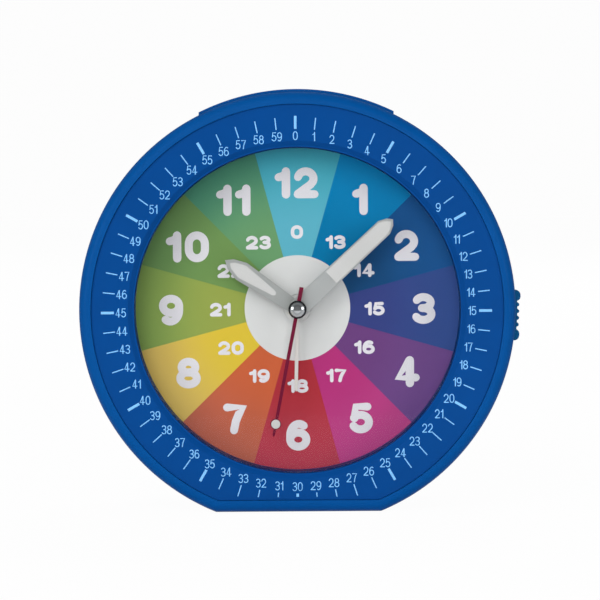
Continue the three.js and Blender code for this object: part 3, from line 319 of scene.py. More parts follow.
def twin(piece, name, shift):
    """A copy of a piece with its own mesh, moved by millimetres."""
    hold(piece)
    bpy.ops.object.duplicate()
    copy = bpy.context.object
    copy.name = copy.data.name = name
    copy.data.transform(Matrix.Translation(Vector(shift) * mm))
    return copy


def copies(pattern, name, shifts):
    """Copies of a pattern, one for each shift in millimetres. The pattern itself goes."""
    made = [twin(pattern, name, shift) for shift in shifts]
    bpy.data.objects.remove(pattern)
    return made


# %% Editing, carving and easing
def edit(piece):
    hold(piece)
    bpy.ops.object.mode_set(mode="EDIT")
    bpy.ops.mesh.select_mode(type="VERT")
    bpy.ops.mesh.select_all(action="SELECT")


def done():
    bpy.ops.object.mode_set(mode="OBJECT")


def round_edges(piece, radius, segments, test):
    """Rounds the edges that pass a test on their middle and their direction."""
    edit(piece)
    bpy.ops.mesh.select_mode(type="EDGE")
    bpy.ops.mesh.select_all(action="DESELECT")
    shape = bmesh.from_edit_mesh(piece.data)
    for edge in shape.edges:
        start, end = [vertex.co for vertex in edge.verts]
        if test((start + end) / 2, (end - start).normalized()):
            edge.select_set(True)
    shape.select_flush_mode()
    bmesh.update_edit_mesh(piece.data)
    bpy.ops.mesh.bevel(offset=radius * mm, segments=segments)
    done()


def cut_flat(piece, height):
    """Takes away all that lies lower than a height in millimetres, and closes the cut."""
    edit(piece)
    bpy.ops.mesh.bisect(plane_co=(0, 0, height * mm), plane_no=(0, 0, 1), use_fill=True,
                        clear_inner=True, threshold=1e-8)
    done()


def apply_modifier(piece, kind, **settings):
    modifier = piece.modifiers.new(kind.lower(), kind)
    for key, value in settings.items():
        setattr(modifier, key, value)
    bpy.context.view_layer.objects.active = piece
    bpy.ops.object.modifier_apply(modifier=modifier.name)


def carve(piece, *cutters, operation="DIFFERENCE"):
    """Takes the cutters' shapes out of a piece. The cutters go."""
    for cutter in cutters:
        apply_modifier(piece, "BOOLEAN", object=cutter, operation=operation, solver="EXACT")
        bpy.data.objects.remove(cutter)


def unite(piece, *others):
    carve(piece, *others, operation="UNION")


def clean(piece, near):
    """Merges what lies nearer together than some millimetres, and flat faces that a cut split."""
    edit(piece)
    bpy.ops.mesh.remove_doubles(threshold=near * mm)
    bpy.ops.mesh.dissolve_degenerate(threshold=near * mm)
    bpy.ops.mesh.select_all(action="SELECT")
    bpy.ops.mesh.dissolve_limited(angle_limit=math.radians(0.4))
    bpy.ops.mesh.select_all(action="SELECT")
    bpy.ops.mesh.delete_loose()
    bpy.ops.mesh.select_all(action="SELECT")
    bpy.ops.mesh.fill_holes(sides=0)
    bpy.ops.mesh.select_all(action="SELECT")
    bpy.ops.mesh.normals_make_consistent(inside=False)
    done()


def ease(piece, width, segments, angle=35):
    """Rounds the sharp edges of a piece a little, so that they catch the light."""
    clean(piece, 0.012)
    apply_modifier(piece, "BEVEL", width=width * mm, segments=segments, limit_method="ANGLE",
                   angle_limit=math.radians(angle), miter_outer="MITER_ARC")
    clean(piece, 0.001)


# %% Lathe, outline, box and rod
case_radius = 57.5 * mm


def turned(name, profile, steps, centre=middle):
    """A profile of (radius, y) points in millimetres, turned round a line along Y."""
    piece = add(bpy.ops.mesh.primitive_plane_add, name, size=mm)
    edit(piece)
    bpy.ops.mesh.merge(type="CENTER")
    here = Vector((0, 0, 0))
    for count, (radius, y) in enumerate(profile):
        point = Vector((centre.x + radius * mm, y * mm, centre.z))
        if count:
            bpy.ops.mesh.extrude_region_move(TRANSFORM_OT_translate={"value": point - here})
        else:
            bpy.ops.transform.translate(value=point - here)
        here = point
    bpy.ops.mesh.select_all(action="SELECT")
    bpy.ops.mesh.spin(steps=steps, angle=2 * math.pi, center=centre, axis=(0, 1, 0))
    bpy.ops.mesh.select_all(action="SELECT")
    bpy.ops.mesh.remove_doubles(threshold=1e-7)
    bpy.ops.mesh.normals_make_consistent(inside=False)
    done()
    return piece


def drum(name, inset, front, back):
    """The clock's outline, a disc cut flat below, drawn in by inset. All in millimetres."""
    piece = add(bpy.ops.mesh.primitive_cylinder_add, name, vertices=200,
                radius=case_radius - inset * mm, depth=(back - front) * mm,
                location=(0, (front + back) / 2 * mm, axis_height), rotation=(math.pi / 2, 0, 0))
    cut_flat(piece, inset)
    return piece


def box(name, low, high):
    """A box between two corners in millimetres."""
    size = [(b - a) * mm for a, b in zip(low, high)]
    place = [(a + b) / 2 * mm for a, b in zip(low, high)]
    return add(bpy.ops.mesh.primitive_cube_add, name, size=1, scale=size, location=place)


def rod(name, radius, low, high, steps=48):
    """A cylinder from one point to another, in millimetres."""
    start, end = Vector(low) * mm, Vector(high) * mm
    along = end - start
    return add(bpy.ops.mesh.primitive_cylinder_add, name, vertices=steps, radius=radius * mm,
               depth=along.length, location=(start + end) / 2,
               rotation=along.to_track_quat("Z", "Y").to_euler())


def to_hour(piece, angle):
    """Turns a piece clockwise round the clock's axis, by an angle in degrees."""
    turn = Matrix.Rotation(math.radians(angle), 4, "Y")
    piece.data.transform(Matrix.Translation(middle) @ turn @ Matrix.Translation(-middle))


def settle(piece, body, finish, replaced=(), smooth=30):
    """Shades a finished piece, gives it its material and hangs it on its body."""
    hold(piece)
    bpy.ops.object.shade_smooth_by_angle(angle=math.radians(smooth))
    apply_modifier(piece, "WEIGHTED_NORMAL", keep_sharp=True, weight=100)
    piece.data.materials.append(finish.material)
    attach(piece, body)
    if replaced:
        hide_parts(*replaced)
    print(piece.name, len(piece.data.polygons), "faces")


# %% [markdown]
# ## Case
#
# The case is one deep moulding in a strong blue, with a rim that rounds over at the front and runs
# straight along the flat. It starts as a solid drum. The rim is bevelled, then the recess for the
# scale, the hollow behind it and the openings for the bar and the slider are carved out. Inside are
# the four posts for the screws and the two shelves under the bar's springs. The finish is a smooth
# satin plastic: a fine grain in the bump, and gloss that wavers slowly over the surface. Flat faces
# next to rounded ones shade in streaks, so the large faces are given the most weight when a piece
# is smoothed.

# %% Moulded plastic
def moulded(name, colour, roughness=0.4, grain=0.25, depth=0.01, cloud=0.04):
    """Plastic from a mould: fine grain, and colour and gloss that vary a little."""
    finish = Finish(name, IOR=1.46, Specular_IOR_Level=0.05)
    slow = finish.noise(9 * mm)
    darker = [level * (1 - 2 * cloud) for level in colour[:3]] + [1]
    lighter = [min(level * (1 + 2 * cloud), 1) for level in colour[:3]] + [1]
    finish.feed(finish.shader, {"Base Color": finish.blend(slow, darker, lighter),
                                "Roughness": slow * 0.12 + (roughness - 0.06)})
    finish.bump(finish.noise(grain * mm), depth * mm)
    return finish


case_blue = moulded("case_blue", paint(2, 75, 143), roughness=0.36)

# %% Shell of the case
case = drum("case", 0, -23, 8)
round_edges(case, 2.6, 10, lambda at, along: at.y < -22.99 * mm)
recess = drum("recess", 3.2, -24, -20.4)
hollow = drum("hollow", 2.2, -18.8, 9)
mouth = drum("mouth", 5.6, -21, -18)
bar_gap = box("bar_gap", (-26.05, -17.75, 100), (26.05, 3.7, 114))
slider_gap = box("slider_gap", (52, -6.85, 43.65), (60, -1.15, 61.6))
carve(case, recess, hollow, mouth, bar_gap, slider_gap)

# %% Posts and shelves inside
screw_circle = 50.5
screw_angles = (50, 130, 235, 305)


def on_dial(distance, angle, y=0.0):
    """A point at an angle clockwise from twelve, in millimetres."""
    turn = math.radians(angle)
    return (distance * math.sin(turn), y, axis_z + distance * math.cos(turn))


def post(name, radius, angle, low, high, steps=48):
    """A rod along Y where one of the case's screws sits."""
    return rod(name, radius, on_dial(screw_circle, angle, low), on_dial(screw_circle, angle, high),
               steps)


for angle in screw_angles:
    unite(case, post("pillar", 2.8, angle, -19.6, 7.8))
    carve(case, post("pilot", 1.3, angle, 0, 10, 24))
for side in (-1, 1):
    low, high = sorted((side * 14.8, side * 29.5))
    unite(case, box("shelf", (low, -10.2, 98.5), (high, -3.8, 100.096)))
ease(case, 0.18, 2)
settle(case, "root", case_blue, ("front_case",))

# %% [markdown]
# ## Scale ring
#
# The ring lies half a millimetre behind the rim, with a fine dark joint between them. It leans in a
# little towards the dial, has a small chamfer at its inner edge, a seat for the lens, and a deep
# throat whose flange holds the dial. All of that is one profile, so it is turned in one go. The
# flat below is one bisect through the turned ring. Its plastic is a finer, darker grade than the
# case. On the throat's wall its colour is painted darker still, as painted shade, since little
# light comes there.

# %% Turned ring, cut flat
edge_radius, edge_front = 54.26, -22.5
lip_radius, lip_front = 44.6, -22.05
ring_foot = 3.24
ring_profile = [(edge_radius, edge_front), (lip_radius, lip_front), (43.4, -21.1), (42.95, -21.1),
                (42.95, -19.6), (42.7, -19.6), (43.2, -9.2), (43.6, -9.2), (43.6, -8), (47, -8),
                (47, -10.2), (44.4, -12.4), (44.4, -20.6), (edge_radius, -20.6),
                (edge_radius, edge_front)]
ring = turned("scale_ring", ring_profile, 192)
cut_flat(ring, ring_foot)
for angle in (30, 150, 210, 330):
    carve(ring, rod("pilot", 0.9, on_dial(45.3, angle, -9.8), on_dial(45.3, angle, -6), 24))
ease(ring, 0.14, 2)

# %% Finish of the ring
throat_shade_radius = 43.05
ring_blue = moulded("ring_blue", paint(3, 67, 135), roughness=0.46, grain=0.18, depth=0.004)
away = ring_blue.node("ShaderNodeVectorMath", {"operation": "SUBTRACT"},
                      {0: ring_blue.place(), 1: (0, 0, axis_height)})
away = ring_blue.node("ShaderNodeVectorMath", {"operation": "MULTIPLY"}, {0: away, 1: (1, 0, 1)})
distance = ring_blue.node("ShaderNodeVectorMath", {"operation": "LENGTH"}, {0: away}, "Value")
# Painted shade: the throat's wall, nearer the axis than 43.05 mm, gets a darker blue for the shade
# that falls in the deep throat.
ring_blue.feed(ring_blue.shader, {"Base Color": ring_blue.blend(
    distance > throat_shade_radius * mm, paint(1, 46, 98), ring_blue.colour())})
settle(ring, "root", ring_blue, ("minute_ring",))

# %% [markdown]
# ## Numerals
#
# The clock has three sizes of printed numerals: bold rounded ones for the hours, wider ones for the
# afternoon hours and small narrow ones for the minutes. A font would do, but few fonts have these
# round ends. So each digit is drawn once as the line that a round pen follows. The line is a curve
# with a round bevel that tapers to a half circle at its ends. Made a mesh and pressed flat, it is a
# thin layer of ink. A numeral is then set from copies of these digits, like type.

# %% Pen lines of the ten digits
def arc(x, z, width, height, start, end):
    """Points along part of an ellipse, on a digit one unit tall and centred on x = 0."""
    count = max(3, round(abs(end - start) / 14))
    turns = [math.radians(start + (end - start) * i / count) for i in range(count + 1)]
    return [(x + width * math.cos(a), z + height * math.sin(a)) for a in turns]


def upside_down(lines):
    return [[(-x, 1 - z) for x, z in line] for line in lines]


six = [arc(0, 0.31, 0.34, 0.31, 0, 360), arc(0.03, 0.5, 0.37, 0.5, 58, 180) + [(-0.34, 0.27)]]
digits = {
    "0": [arc(0, 0.62, 0.34, 0.38, 0, 180) + arc(0, 0.38, 0.34, 0.38, 180, 360) + [(0.34, 0.62)]],
    "1": [[(-0.2, 0.75), (-0.04, 0.8), (0.06, 0.88), (0.1, 1)], [(0.1, 1), (0.1, 0)]],
    "2": [arc(0, 0.68, 0.33, 0.32, 165, -25) + [(0.2, 0.42), (-0.33, 0.02)],
          [(-0.33, 0), (0.36, 0)]],
    "3": [arc(-0.01, 0.76, 0.31, 0.24, 150, -80) + [(-0.06, 0.52)],
          [(-0.06, 0.52)] + arc(-0.01, 0.26, 0.34, 0.26, 80, -150)],
    "4": [[(0.36, 0.24), (-0.37, 0.24), (0.1, 1)], [(0.12, 1), (0.12, 0)]],
    "5": [[(0.27, 1), (-0.21, 1), (-0.27, 0.5)], arc(-0.01, 0.32, 0.35, 0.32, 142, -148)],
    "6": six,
    "7": [[(-0.34, 1), (0.34, 1), (0.16, 0.74), (0.02, 0.4), (-0.06, 0)]],
    "8": [arc(0, 0.76, 0.29, 0.24, 0, 360), arc(0, 0.27, 0.35, 0.27, 0, 360)],
    "9": upside_down(six),
}
print("digits", len(digits), "points", sum(len(line) for d in digits.values() for line in d))


# %% Setting numerals like type
ink_thickness = 0.06


def pen_line(data, points, size, stretch, pen):
    """Adds one line of the pen, in millimetres, that tapers to a half circle at each end."""
    path = [Vector((x * size * stretch, 0, z * size)) for x, z in points]
    closed = (path[0] - path[-1]).length < 0.01 and len(path) > 3
    knots = [(p, 1.0) for p in (path[:-1] if closed else path)]
    if not closed:
        for end, inner, side in ((path[0], path[1], 0), (path[-1], path[-2], 1)):
            out = (end - inner).normalized()
            cap = [(end + out * pen / 2 * math.sin(a), max(math.cos(a), 0.02))
                   for a in (math.radians(30), math.radians(60), math.radians(88))]
            knots = knots + cap if side else cap[::-1] + knots
    line = data.splines.new("POLY")
    line.points.add(len(knots) - 1)
    line.use_cyclic_u = closed
    for point, (place, width) in zip(line.points, knots):
        point.co = (*(place * mm), 1)
        point.radius = width


def digit_type(style, size, stretch, pen, round_steps=2):
    """Models the ten digits of one style. Returns each with its left and right end, in mm."""
    letters = {}
    for digit, lines in digits.items():
        piece = add(bpy.ops.curve.primitive_nurbs_path_add, f"{style}_{digit}")
        data = piece.data
        data.splines.clear()
        data.dimensions = "3D"
        data.bevel_depth = pen / 2 * mm
        data.bevel_resolution = round_steps
        data.use_fill_caps = True
        for points in lines:
            pen_line(data, points, size - pen, stretch, pen)
        bpy.ops.object.convert(target="MESH")
        piece = bpy.context.object
        edit(piece)
        bpy.ops.mesh.remove_doubles(threshold=1e-7)
        bpy.ops.transform.resize(value=(1, ink_thickness / pen, 1), center_override=(0, 0, 0))
        done()
        xs = [v.co.x / mm for v in piece.data.vertices]
        letters[digit] = (piece, min(xs), max(xs))
    return letters


def set_numeral(letters, text, place, gap):
    """Copies digits side by side, centred on a place in millimetres. Returns the copies."""
    total = sum(letters[c][2] - letters[c][1] for c in text) + gap * (len(text) - 1)
    left = place[0] - total / 2
    heights = [v.co.z / mm for c in text for v in letters[c][0].data.vertices]
    down = (max(heights) + min(heights)) / 2
    made = []
    for c in text:
        source, low, high = letters[c]
        made.append(twin(source, "numeral", (left - low, place[1], place[2] - down)))
        left += high - low + gap
    return made


def joined(name, parts):
    bpy.ops.object.select_all(action="DESELECT")
    for part in parts:
        part.select_set(True)
    bpy.context.view_layer.objects.active = parts[0]
    bpy.ops.object.join()
    piece = bpy.context.object
    piece.name = piece.data.name = name
    return piece


def put_away(letters):
    for piece, _, _ in letters.values():
        bpy.data.objects.remove(piece)


# %% [markdown]
# ## Minute scale
#
# Sixty lines and sixty numerals run round the ring, 0 at the top. Every fifth line is a broad bar.
# The print follows the lean of the ring and stands a hair above it, as pad printing does, and it
# sits a quarter of a millimetre off centre, as such prints often do. The flat cuts the lowest lines
# short, so the last step is one bisect through the whole print.

# %% Lines and numerals of the minutes
def lean(radius):
    """The ring's front at a distance from the axis, in millimetres."""
    share = (radius - lip_radius) / (edge_radius - lip_radius)
    return lip_front + (edge_front - lip_front) * share


def minute_line(minute):
    """The line of a minute, broad at every fifth."""
    start = 48
    half, end = (0.34, 51.4) if minute % 5 == 0 else (0.14, 51.1)
    line = box(f"minute_line_{minute}", (-half, -ink_thickness / 2, axis_z + start),
               (half, ink_thickness / 2, axis_z + end))
    to_hour(line, 6 * minute)
    return line


small_type = digit_type("minute", 2.4, 0.72, 0.28, 1)
print_parts = [minute_line(minute) for minute in range(60)]
minute_circle = 46.2
for minute in range(60):
    x, _, z = on_dial(minute_circle, 6 * minute)
    print_parts += set_numeral(small_type, str(minute), (x, 0, z), 0.17)
put_away(small_type)
scale = joined("minute_print", print_parts)
off_centre = (-0.25 * mm, 0, -0.25 * mm)
scale.data.transform(Matrix.Translation(off_centre))
for vertex in scale.data.vertices:
    vertex.co.y += lean((vertex.co - middle).xz.length / mm) * mm
print_foot = 4.1
cut_flat(scale, print_foot)
pale_ink = moulded("pale_ink", paint(126, 190, 242), roughness=0.5, grain=0.1, depth=0.002)
settle(scale, "root", pale_ink)

# %% [markdown]
# ## Dial
#
# The dial is a printed disc deep in the case, with a hole for the hands. Its print is twelve
# sectors, each centred on its hour, round a white middle. Each colour shifts a little on its way
# from the middle to the rim, and that shift is painted light: darker in some sectors as painted
# shade from the throat, lighter in others to offset the throat's own shadow. One material does it
# all. It works out the angle and the distance of each point from the axis. Two ramps of plain steps
# turn the angle into the inner and the outer colour. The print is matt, so that the lamps lay no
# haze over its colours.

# %% Twelve colours by angle
# Painted light: the rim colours hold the throat's light and shade, darker than the middle in some
# sectors as painted shade and lighter in others to offset the throat's shadow.
sector_inks_and_rim_light = [  # from twelve on: near the middle, near the rim
    ((92, 173, 192), (70, 171, 189)), ((5, 114, 162), (11, 134, 191)),
    ((23, 70, 115), (30, 89, 150)), ((55, 66, 126), (57, 83, 146)),
    ((106, 65, 122), (114, 78, 139)), ((178, 52, 118), (191, 72, 135)),
    ((172, 50, 59), (185, 66, 83)), ((200, 97, 60), (190, 102, 82)),
    ((218, 189, 61), (218, 186, 100)), ((149, 162, 77), (134, 163, 85)),
    ((112, 146, 82), (107, 145, 86)), ((105, 153, 105), (78, 144, 115))]
dial_print = Finish("dial_print", IOR=1.45, Specular_IOR_Level=0.05)
across = dial_print.place("X")
above = dial_print.place("Z") - axis_height
whole_turns = dial_print.math("ARCTAN2", across, above) / (2 * math.pi)
half_sector = 1 / 24
sector = dial_print.math("FRACT", whole_turns + (1 + half_sector))
distance = dial_print.math("SQRT", across * across + above * above)


def sector_colour(which):
    """The colour of each sector: 0 for the inner print, 1 for the outer colour with painted rim
    light.
    """
    stops = [(i / 12, paint(*inks[which])) for i, inks in enumerate(sector_inks_and_rim_light)]
    return dial_print.node("ShaderNodeValToRGB", {"stops": ("CONSTANT", stops)}, {"Fac": sector})


# Painted light: between 20 and 43 mm from the axis each colour moves from the inner print to its
# rim colour with the painted shade.
rim_light_share = dial_print.node("ShaderNodeMapRange", {"interpolation_type": "SMOOTHSTEP"},
                         {"Value": distance, "From Min": 20 * mm, "From Max": 43 * mm})
inks_with_rim_light = dial_print.blend(rim_light_share, sector_colour(0), sector_colour(1))
centre_white = dial_print.blend(distance > 14.1 * mm, paint(214, 214, 212), inks_with_rim_light)
fibre = dial_print.noise(0.5 * mm, 3)
shade = dial_print.node("ShaderNodeMix", {"data_type": "RGBA", "blend_type": "MULTIPLY"},
                        {"Factor": 0.06, 6: centre_white, 7: fibre}, output=2)
dial_print.feed(dial_print.shader, {"Base Color": shade, "Roughness": fibre * 0.15 + 0.45})
dial_print.bump(fibre, 0.004 * mm)

# %% Disc
dial_front, dial_back = -9, -8.2
dial = turned("dial_disc", [(3.7, dial_front), (43.4, dial_front), (43.4, dial_back),
                            (3.7, dial_back), (3.7, dial_front)], 192)
ease(dial, 0.08, 2)
settle(dial, "root", dial_print, ("dial",))

# %% Hour numerals
off_white = moulded("numeral_ink", paint(222, 219, 223), roughness=0.5, grain=0.15, depth=0.002)
hour_type = digit_type("hour", 8.35, 1.04, 2.25, 3)
late_type = digit_type("late", 3.65, 1.26, 0.94, 2)
hour_circle, hour_drop, hour_gap = 33.77, 0.35, 0.92
late_circle, late_drop, late_gap = 20.6, 0.3, 0.3
ink_middle = dial_front - 0.01
ink = []
for hour in range(1, 13):
    x, _, z = on_dial(hour_circle, 30 * hour)
    ink += set_numeral(hour_type, str(hour), (x, ink_middle, z - hour_drop), hour_gap)
    x, _, z = on_dial(late_circle, 30 * hour)
    ink += set_numeral(late_type, str((hour + 12) % 24), (x, ink_middle, z - late_drop), late_gap)
put_away(hour_type)
put_away(late_type)
settle(joined("hour_print", ink), "root", off_white)

# %% [markdown]
# ## Lens
#
# A clear disc is let in at the front of the throat. Acrylic this thin hardly shows from in front.
# It lets nearly all the light by and mirrors a little more at a slant, so its material mixes a
# clear shader with a mirror, by how far the surface turns from the viewer.

# %% Clear disc
lens_clear = Finish("lens_clear")
clear = lens_clear.node("ShaderNodeBsdfTransparent", None, {"Color": (0.985, 0.99, 0.992, 1)})
mirror = lens_clear.node("ShaderNodeBsdfGlossy", None, {"Roughness": 0.03})
slant = lens_clear.node("ShaderNodeLayerWeight", None, {"Blend": 0.5}, "Facing")
film = lens_clear.node("ShaderNodeMixShader", None,
                       {0: slant * slant * slant * slant * 0.8 + 0.004, 1: clear, 2: mirror})
lens_clear.feed(lens_clear.tree.nodes["Material Output"], {"Surface": film})
lens_clear.tree.nodes.remove(lens_clear.shader)
lens_radius, lens_front, lens_back = 42.85, -21.4, -19.8
lens = turned("clear_lens", [(0, lens_front), (lens_radius, lens_front), (lens_radius, lens_back),
                             (0, lens_back)], 192)
ease(lens, 0.3, 3)
settle(lens, "root", lens_clear, ("lens",))

# %% [markdown]
# ## Hands
#
# Four hands sit one behind the other on pipes that run inside each other. The hour and minute hands
# are silver frames with a pale luminous inlay, the alarm hand is a thin pale needle, and the second
# hand is dark red with a luminous dot and a short tail. Each hand is drawn pointing to twelve, as a
# polygon whose corners are moved into place, then extruded, eased and turned to its hour. A slot
# with the inlay's own outline is carved out of the frame, so the inlay lies in a real recess.

# %% Flat plates from an outline
def plate(name, outline, front, back):
    """A flat plate with corners at (x, z) on the dial, in millimetres from the axis."""
    piece = add(bpy.ops.mesh.primitive_circle_add, name, vertices=len(outline), radius=mm,
                fill_type="NGON", location=middle, rotation=(math.pi / 2, 0, 0))
    for vertex, (x, z) in zip(piece.data.vertices, outline):
        vertex.co = (x * mm, front * mm, axis_height + z * mm)
    edit(piece)
    bpy.ops.mesh.extrude_region_move(TRANSFORM_OT_translate={"value": (0, (back - front) * mm, 0)})
    bpy.ops.mesh.select_all(action="SELECT")
    bpy.ops.mesh.normals_make_consistent(inside=False)
    done()
    return piece


def both_sides(right):
    """An outline from its right half, from the bottom up."""
    return right + [(-x, z) for x, z in reversed(right) if x > 0]


def boss(outer, bore, front):
    """The round foot of a hand, which sits on its pipe."""
    back = front + 1.1
    return turned("boss", [(bore, front), (outer, front), (outer, back), (bore, back),
                           (bore, front)], 48)


def shaft(name, radius, front, back, z=axis_z, steps=48):
    """A rod along Y, on the hands' axis or straight above it."""
    return rod(name, radius, (0, front, z), (0, back, z), steps)


def framed_hand(name, angle, front, outline, slot, outer, bore, body, node, silver):
    """A silver frame on its boss, with a luminous inlay in a slot."""
    frame_piece = plate(name, outline, front, front + 0.5)
    unite(frame_piece, boss(outer, bore - 0.3, front))
    carve(frame_piece, shaft("bore", bore, front - 1, front + 2))
    carve(frame_piece, plate("slot", slot, front - 0.2, front + 0.3))
    ease(frame_piece, 0.1, 3)
    to_hour(frame_piece, angle)
    settle(frame_piece, body, silver, (node,))
    inlay = plate(f"{name}_inlay", slot, front + 0.04, front + 0.32)
    ease(inlay, 0.05, 2)
    to_hour(inlay, angle)
    settle(inlay, body, luminous)


# %% Silver frames with luminous inlays
# Painted shade: the hour frame's silver is the minute frame's silver painted darker, and a little
# rougher.
bright_silver = moulded("bright_silver", paint(188, 190, 189), 0.34, 0.12, 0.003)
shaded_silver = moulded("shaded_silver", paint(174, 176, 174), 0.4, 0.12, 0.003)
for shade in (bright_silver, shaded_silver):
    shade.feed(shade.shader, {"Metallic": 0.55})
luminous = moulded("luminous", paint(200, 199, 197), roughness=0.7, grain=0.08, depth=0.006)
hour_outline = both_sides([(1.8, 0), (2.65, 17.9), (1.5, 21.4), (0, 23.2)])
hour_slot = both_sides([(0, 6.9), (0.45, 7.1), (0.75, 7.7), (1.95, 17.7), (1.0, 20.6), (0, 21.7)])
framed_hand("hour_frame", 304.35, -13.2, hour_outline, hour_slot, 2.3, 1.74, "hour", "hour_hand",
            shaded_silver)
minute_outline = both_sides([(2.55, 0), (2.3, 31.6), (1.3, 33.7), (0, 34.8)])
minute_slot = both_sides([(0, 12.3), (2.1, 12.3), (1.9, 31.4), (1.0, 33.0), (0, 33.9)])
framed_hand("minute_frame", 47.05, -14.8, minute_outline, minute_slot, 2.02, 1.17, "minute",
            "minute_hand", bright_silver)

# %% Alarm hand and second hand
needle_pale = moulded("needle_pale", paint(214, 209, 204), roughness=0.5, grain=0.12, depth=0.003)
needle = plate("alarm_needle", both_sides([(0.52, 0), (0.46, 21.4), (0, 22.3)]), -11.6, -11.1)
unite(needle, boss(2.7, 1.9, -11.6))
carve(needle, shaft("bore", 2.16, -12.5, -9.5))
ease(needle, 0.08, 2)
to_hour(needle, 181.3)
settle(needle, "alarm", needle_pale, ("alarm_hand",))

dark_red = moulded("dark_red", paint(108, 22, 49), roughness=0.35, grain=0.12, depth=0.003)
sweeper = plate("second_needle", both_sides([(0.55, -6.0), (0.5, 0), (0.42, 28), (0.34, 33.9),
                                             (0, 34.5)]), -16.4, -15.9)
dot_z = axis_z + 31
unite(sweeper, boss(1.3, 0.3, -16.4), shaft("ring", 1.45, -16.4, -15.9, dot_z))
carve(sweeper, shaft("bore", 0.45, -17, -15, steps=32),
      shaft("dot_seat", 1.22, -17, -16.15, dot_z))
ease(sweeper, 0.06, 2)
second_angle = 191.05
to_hour(sweeper, second_angle)
settle(sweeper, "second", dark_red, ("second_hand",))
dot = shaft("second_dot", 1.2, -16.42, -16.12, dot_z)
ease(dot, 0.08, 2)
to_hour(dot, second_angle)
settle(dot, "second", luminous)

# %% [markdown]
# ## Chrome cap
#
# A small turned cap covers the ends of the pipes. It is a low dome, so the lamps beside the camera
# show in it as two bright spots. Chrome is a plain mirror with a little haze. Its base colour also
# carries painted reflection of the dark room in front of the clock: a ramp by the distance from the
# dome's top paints it grey, with a lighter ring and the darkest tone at its steep edge.

# %% Cap
chrome = Finish("chrome_plate", Metallic=1.0)
haze = chrome.noise(0.8 * mm, 3)
cap_radius = 2.4
offset = chrome.node("ShaderNodeVectorMath", {"operation": "SUBTRACT"},
                     {0: chrome.place(), 1: (0, -18 * mm, axis_height)})
reach = chrome.node("ShaderNodeVectorMath", {"operation": "LENGTH"}, {0: offset}, "Value")
# Painted reflection: rings of base colour by the distance from the dome's top, grey in the middle,
# lighter near three quarters of the radius and dark at the steep edge.
painted_reflection_rings = chrome.node("ShaderNodeValToRGB", {"stops": ("LINEAR", [
    (0, paint(196, 198, 200)), (0.3, paint(186, 188, 190)), (0.45, paint(158, 160, 162)),
    (0.74, paint(176, 178, 180)), (0.88, paint(66, 68, 70)), (1, paint(48, 50, 52))])},
    {"Fac": reach / (cap_radius * mm)})
chrome.feed(chrome.shader, {"Roughness": haze * 0.08 + 0.08, "Base Color": painted_reflection_rings})
dome_radius, dome_front = 3.65, -18.1
dome = [(dome_radius * math.sin(a), dome_front + dome_radius * (1 - math.cos(a)))
        for a in (math.radians(step) for step in range(0, 41, 4))]
cap = turned("chrome_cap", dome + [(cap_radius, -17.15), (cap_radius, -16.6), (0, -16.6)], 96)
settle(cap, "second", chrome, ("centre_cap",), 50)

# %% [markdown]
# ## Snooze bar
#
# The long bar on top of the case repeats the case's curve and stands a little proud of it. It is
# one part of a turned ring, cut off square at both ends. Fine grooves run along the middle of its
# back, where a finger rests. Under it are two stiffening ribs, two legs in shallow pockets, which
# guide the springs, and the rod that presses the switch.

# %% Bar, grooves, legs and rod
def arc_strip(name, profile, reach):
    """A part of a turned ring over the top of the clock, reach to either side of the middle."""
    strip = turned(name, profile + profile[:1], 288)
    carve(strip, box("left_end", (-80, -30, -20), (-reach, 30, 130)),
          box("right_end", (reach, -30, -20), (80, 30, 130)),
          box("below", (-80, -30, -20), (80, 30, 80)))
    return strip


outer, inner, rib = 58.25, 55.65, 54.6
bar = arc_strip("bar", [(inner, -17.5), (outer, -17.5), (outer, 3.5), (inner, 3.5), (inner, 1.7),
                        (rib, 1.7), (rib, 0.7), (inner, 0.7), (inner, -14.7), (rib, -14.7),
                        (rib, -15.7), (inner, -15.7)], 25.7)
unite(bar, rod("press_rod", 1.2, (0, -1.6, 96.4), (0, -1.6, 109.9)))
bar_middle = -7
for x in (-17.99, 17.99):
    carve(bar, rod("spring_pocket", 2.8, (x, bar_middle, 100), (x, bar_middle, 105.45)))
    unite(bar, rod("leg", 1.2, (x, bar_middle, 101.8), (x, bar_middle, 107)))
groove_floor = 57.95
for y in (-11.2, -9.1, bar_middle, -4.9, -2.8):
    front, back = y - 0.45, y + 0.45
    carve(bar, arc_strip("groove", [(groove_floor, front), (59, front), (59, back),
                                    (groove_floor, back)], 13))
ease(bar, 0.4, 4)
settle(bar, "bar", case_blue, ("snooze_bar",))

# %% [markdown]
# ## Alarm slider
#
# The switch for the alarm sits in the right side of the case. Its grip follows the case's curve,
# with a round hump at either end and four teeth between them. The grip is drawn as an outline on
# the dial's plane, from its distances to the clock's axis, and then lowered to its place. A wider
# plate behind it keeps it in its slot.

# %% Grip and plate
def grip_line():
    """Places along the grip from below, as (height from the axis, distance to it)."""
    low_hump = [(-8.65, 56.85), (-8.62, 58.95), (-8.4, 59.45), (-8.0, 59.77), (-7.4, 59.9),
                (-6.7, 59.85), (-6.2, 59.65), (-5.85, 59.3), (-5.7, 58.95)]
    top_hump = [(2.0, 58.95), (2.15, 59.35), (2.5, 59.7), (3.0, 59.9), (3.7, 59.93), (4.25, 59.8),
                (4.6, 59.5), (4.8, 59.05), (4.85, 56.85)]
    tooth = ((-0.55, 0), (-0.42, 0.34), (-0.2, 0.52), (0.2, 0.52), (0.42, 0.34), (0.55, 0))
    teeth = [(place + along, 58.95 + rise) for place in (-4.4, -2.6, -0.8, 1.0)
             for along, rise in tooth]
    return low_hump + teeth + top_hump


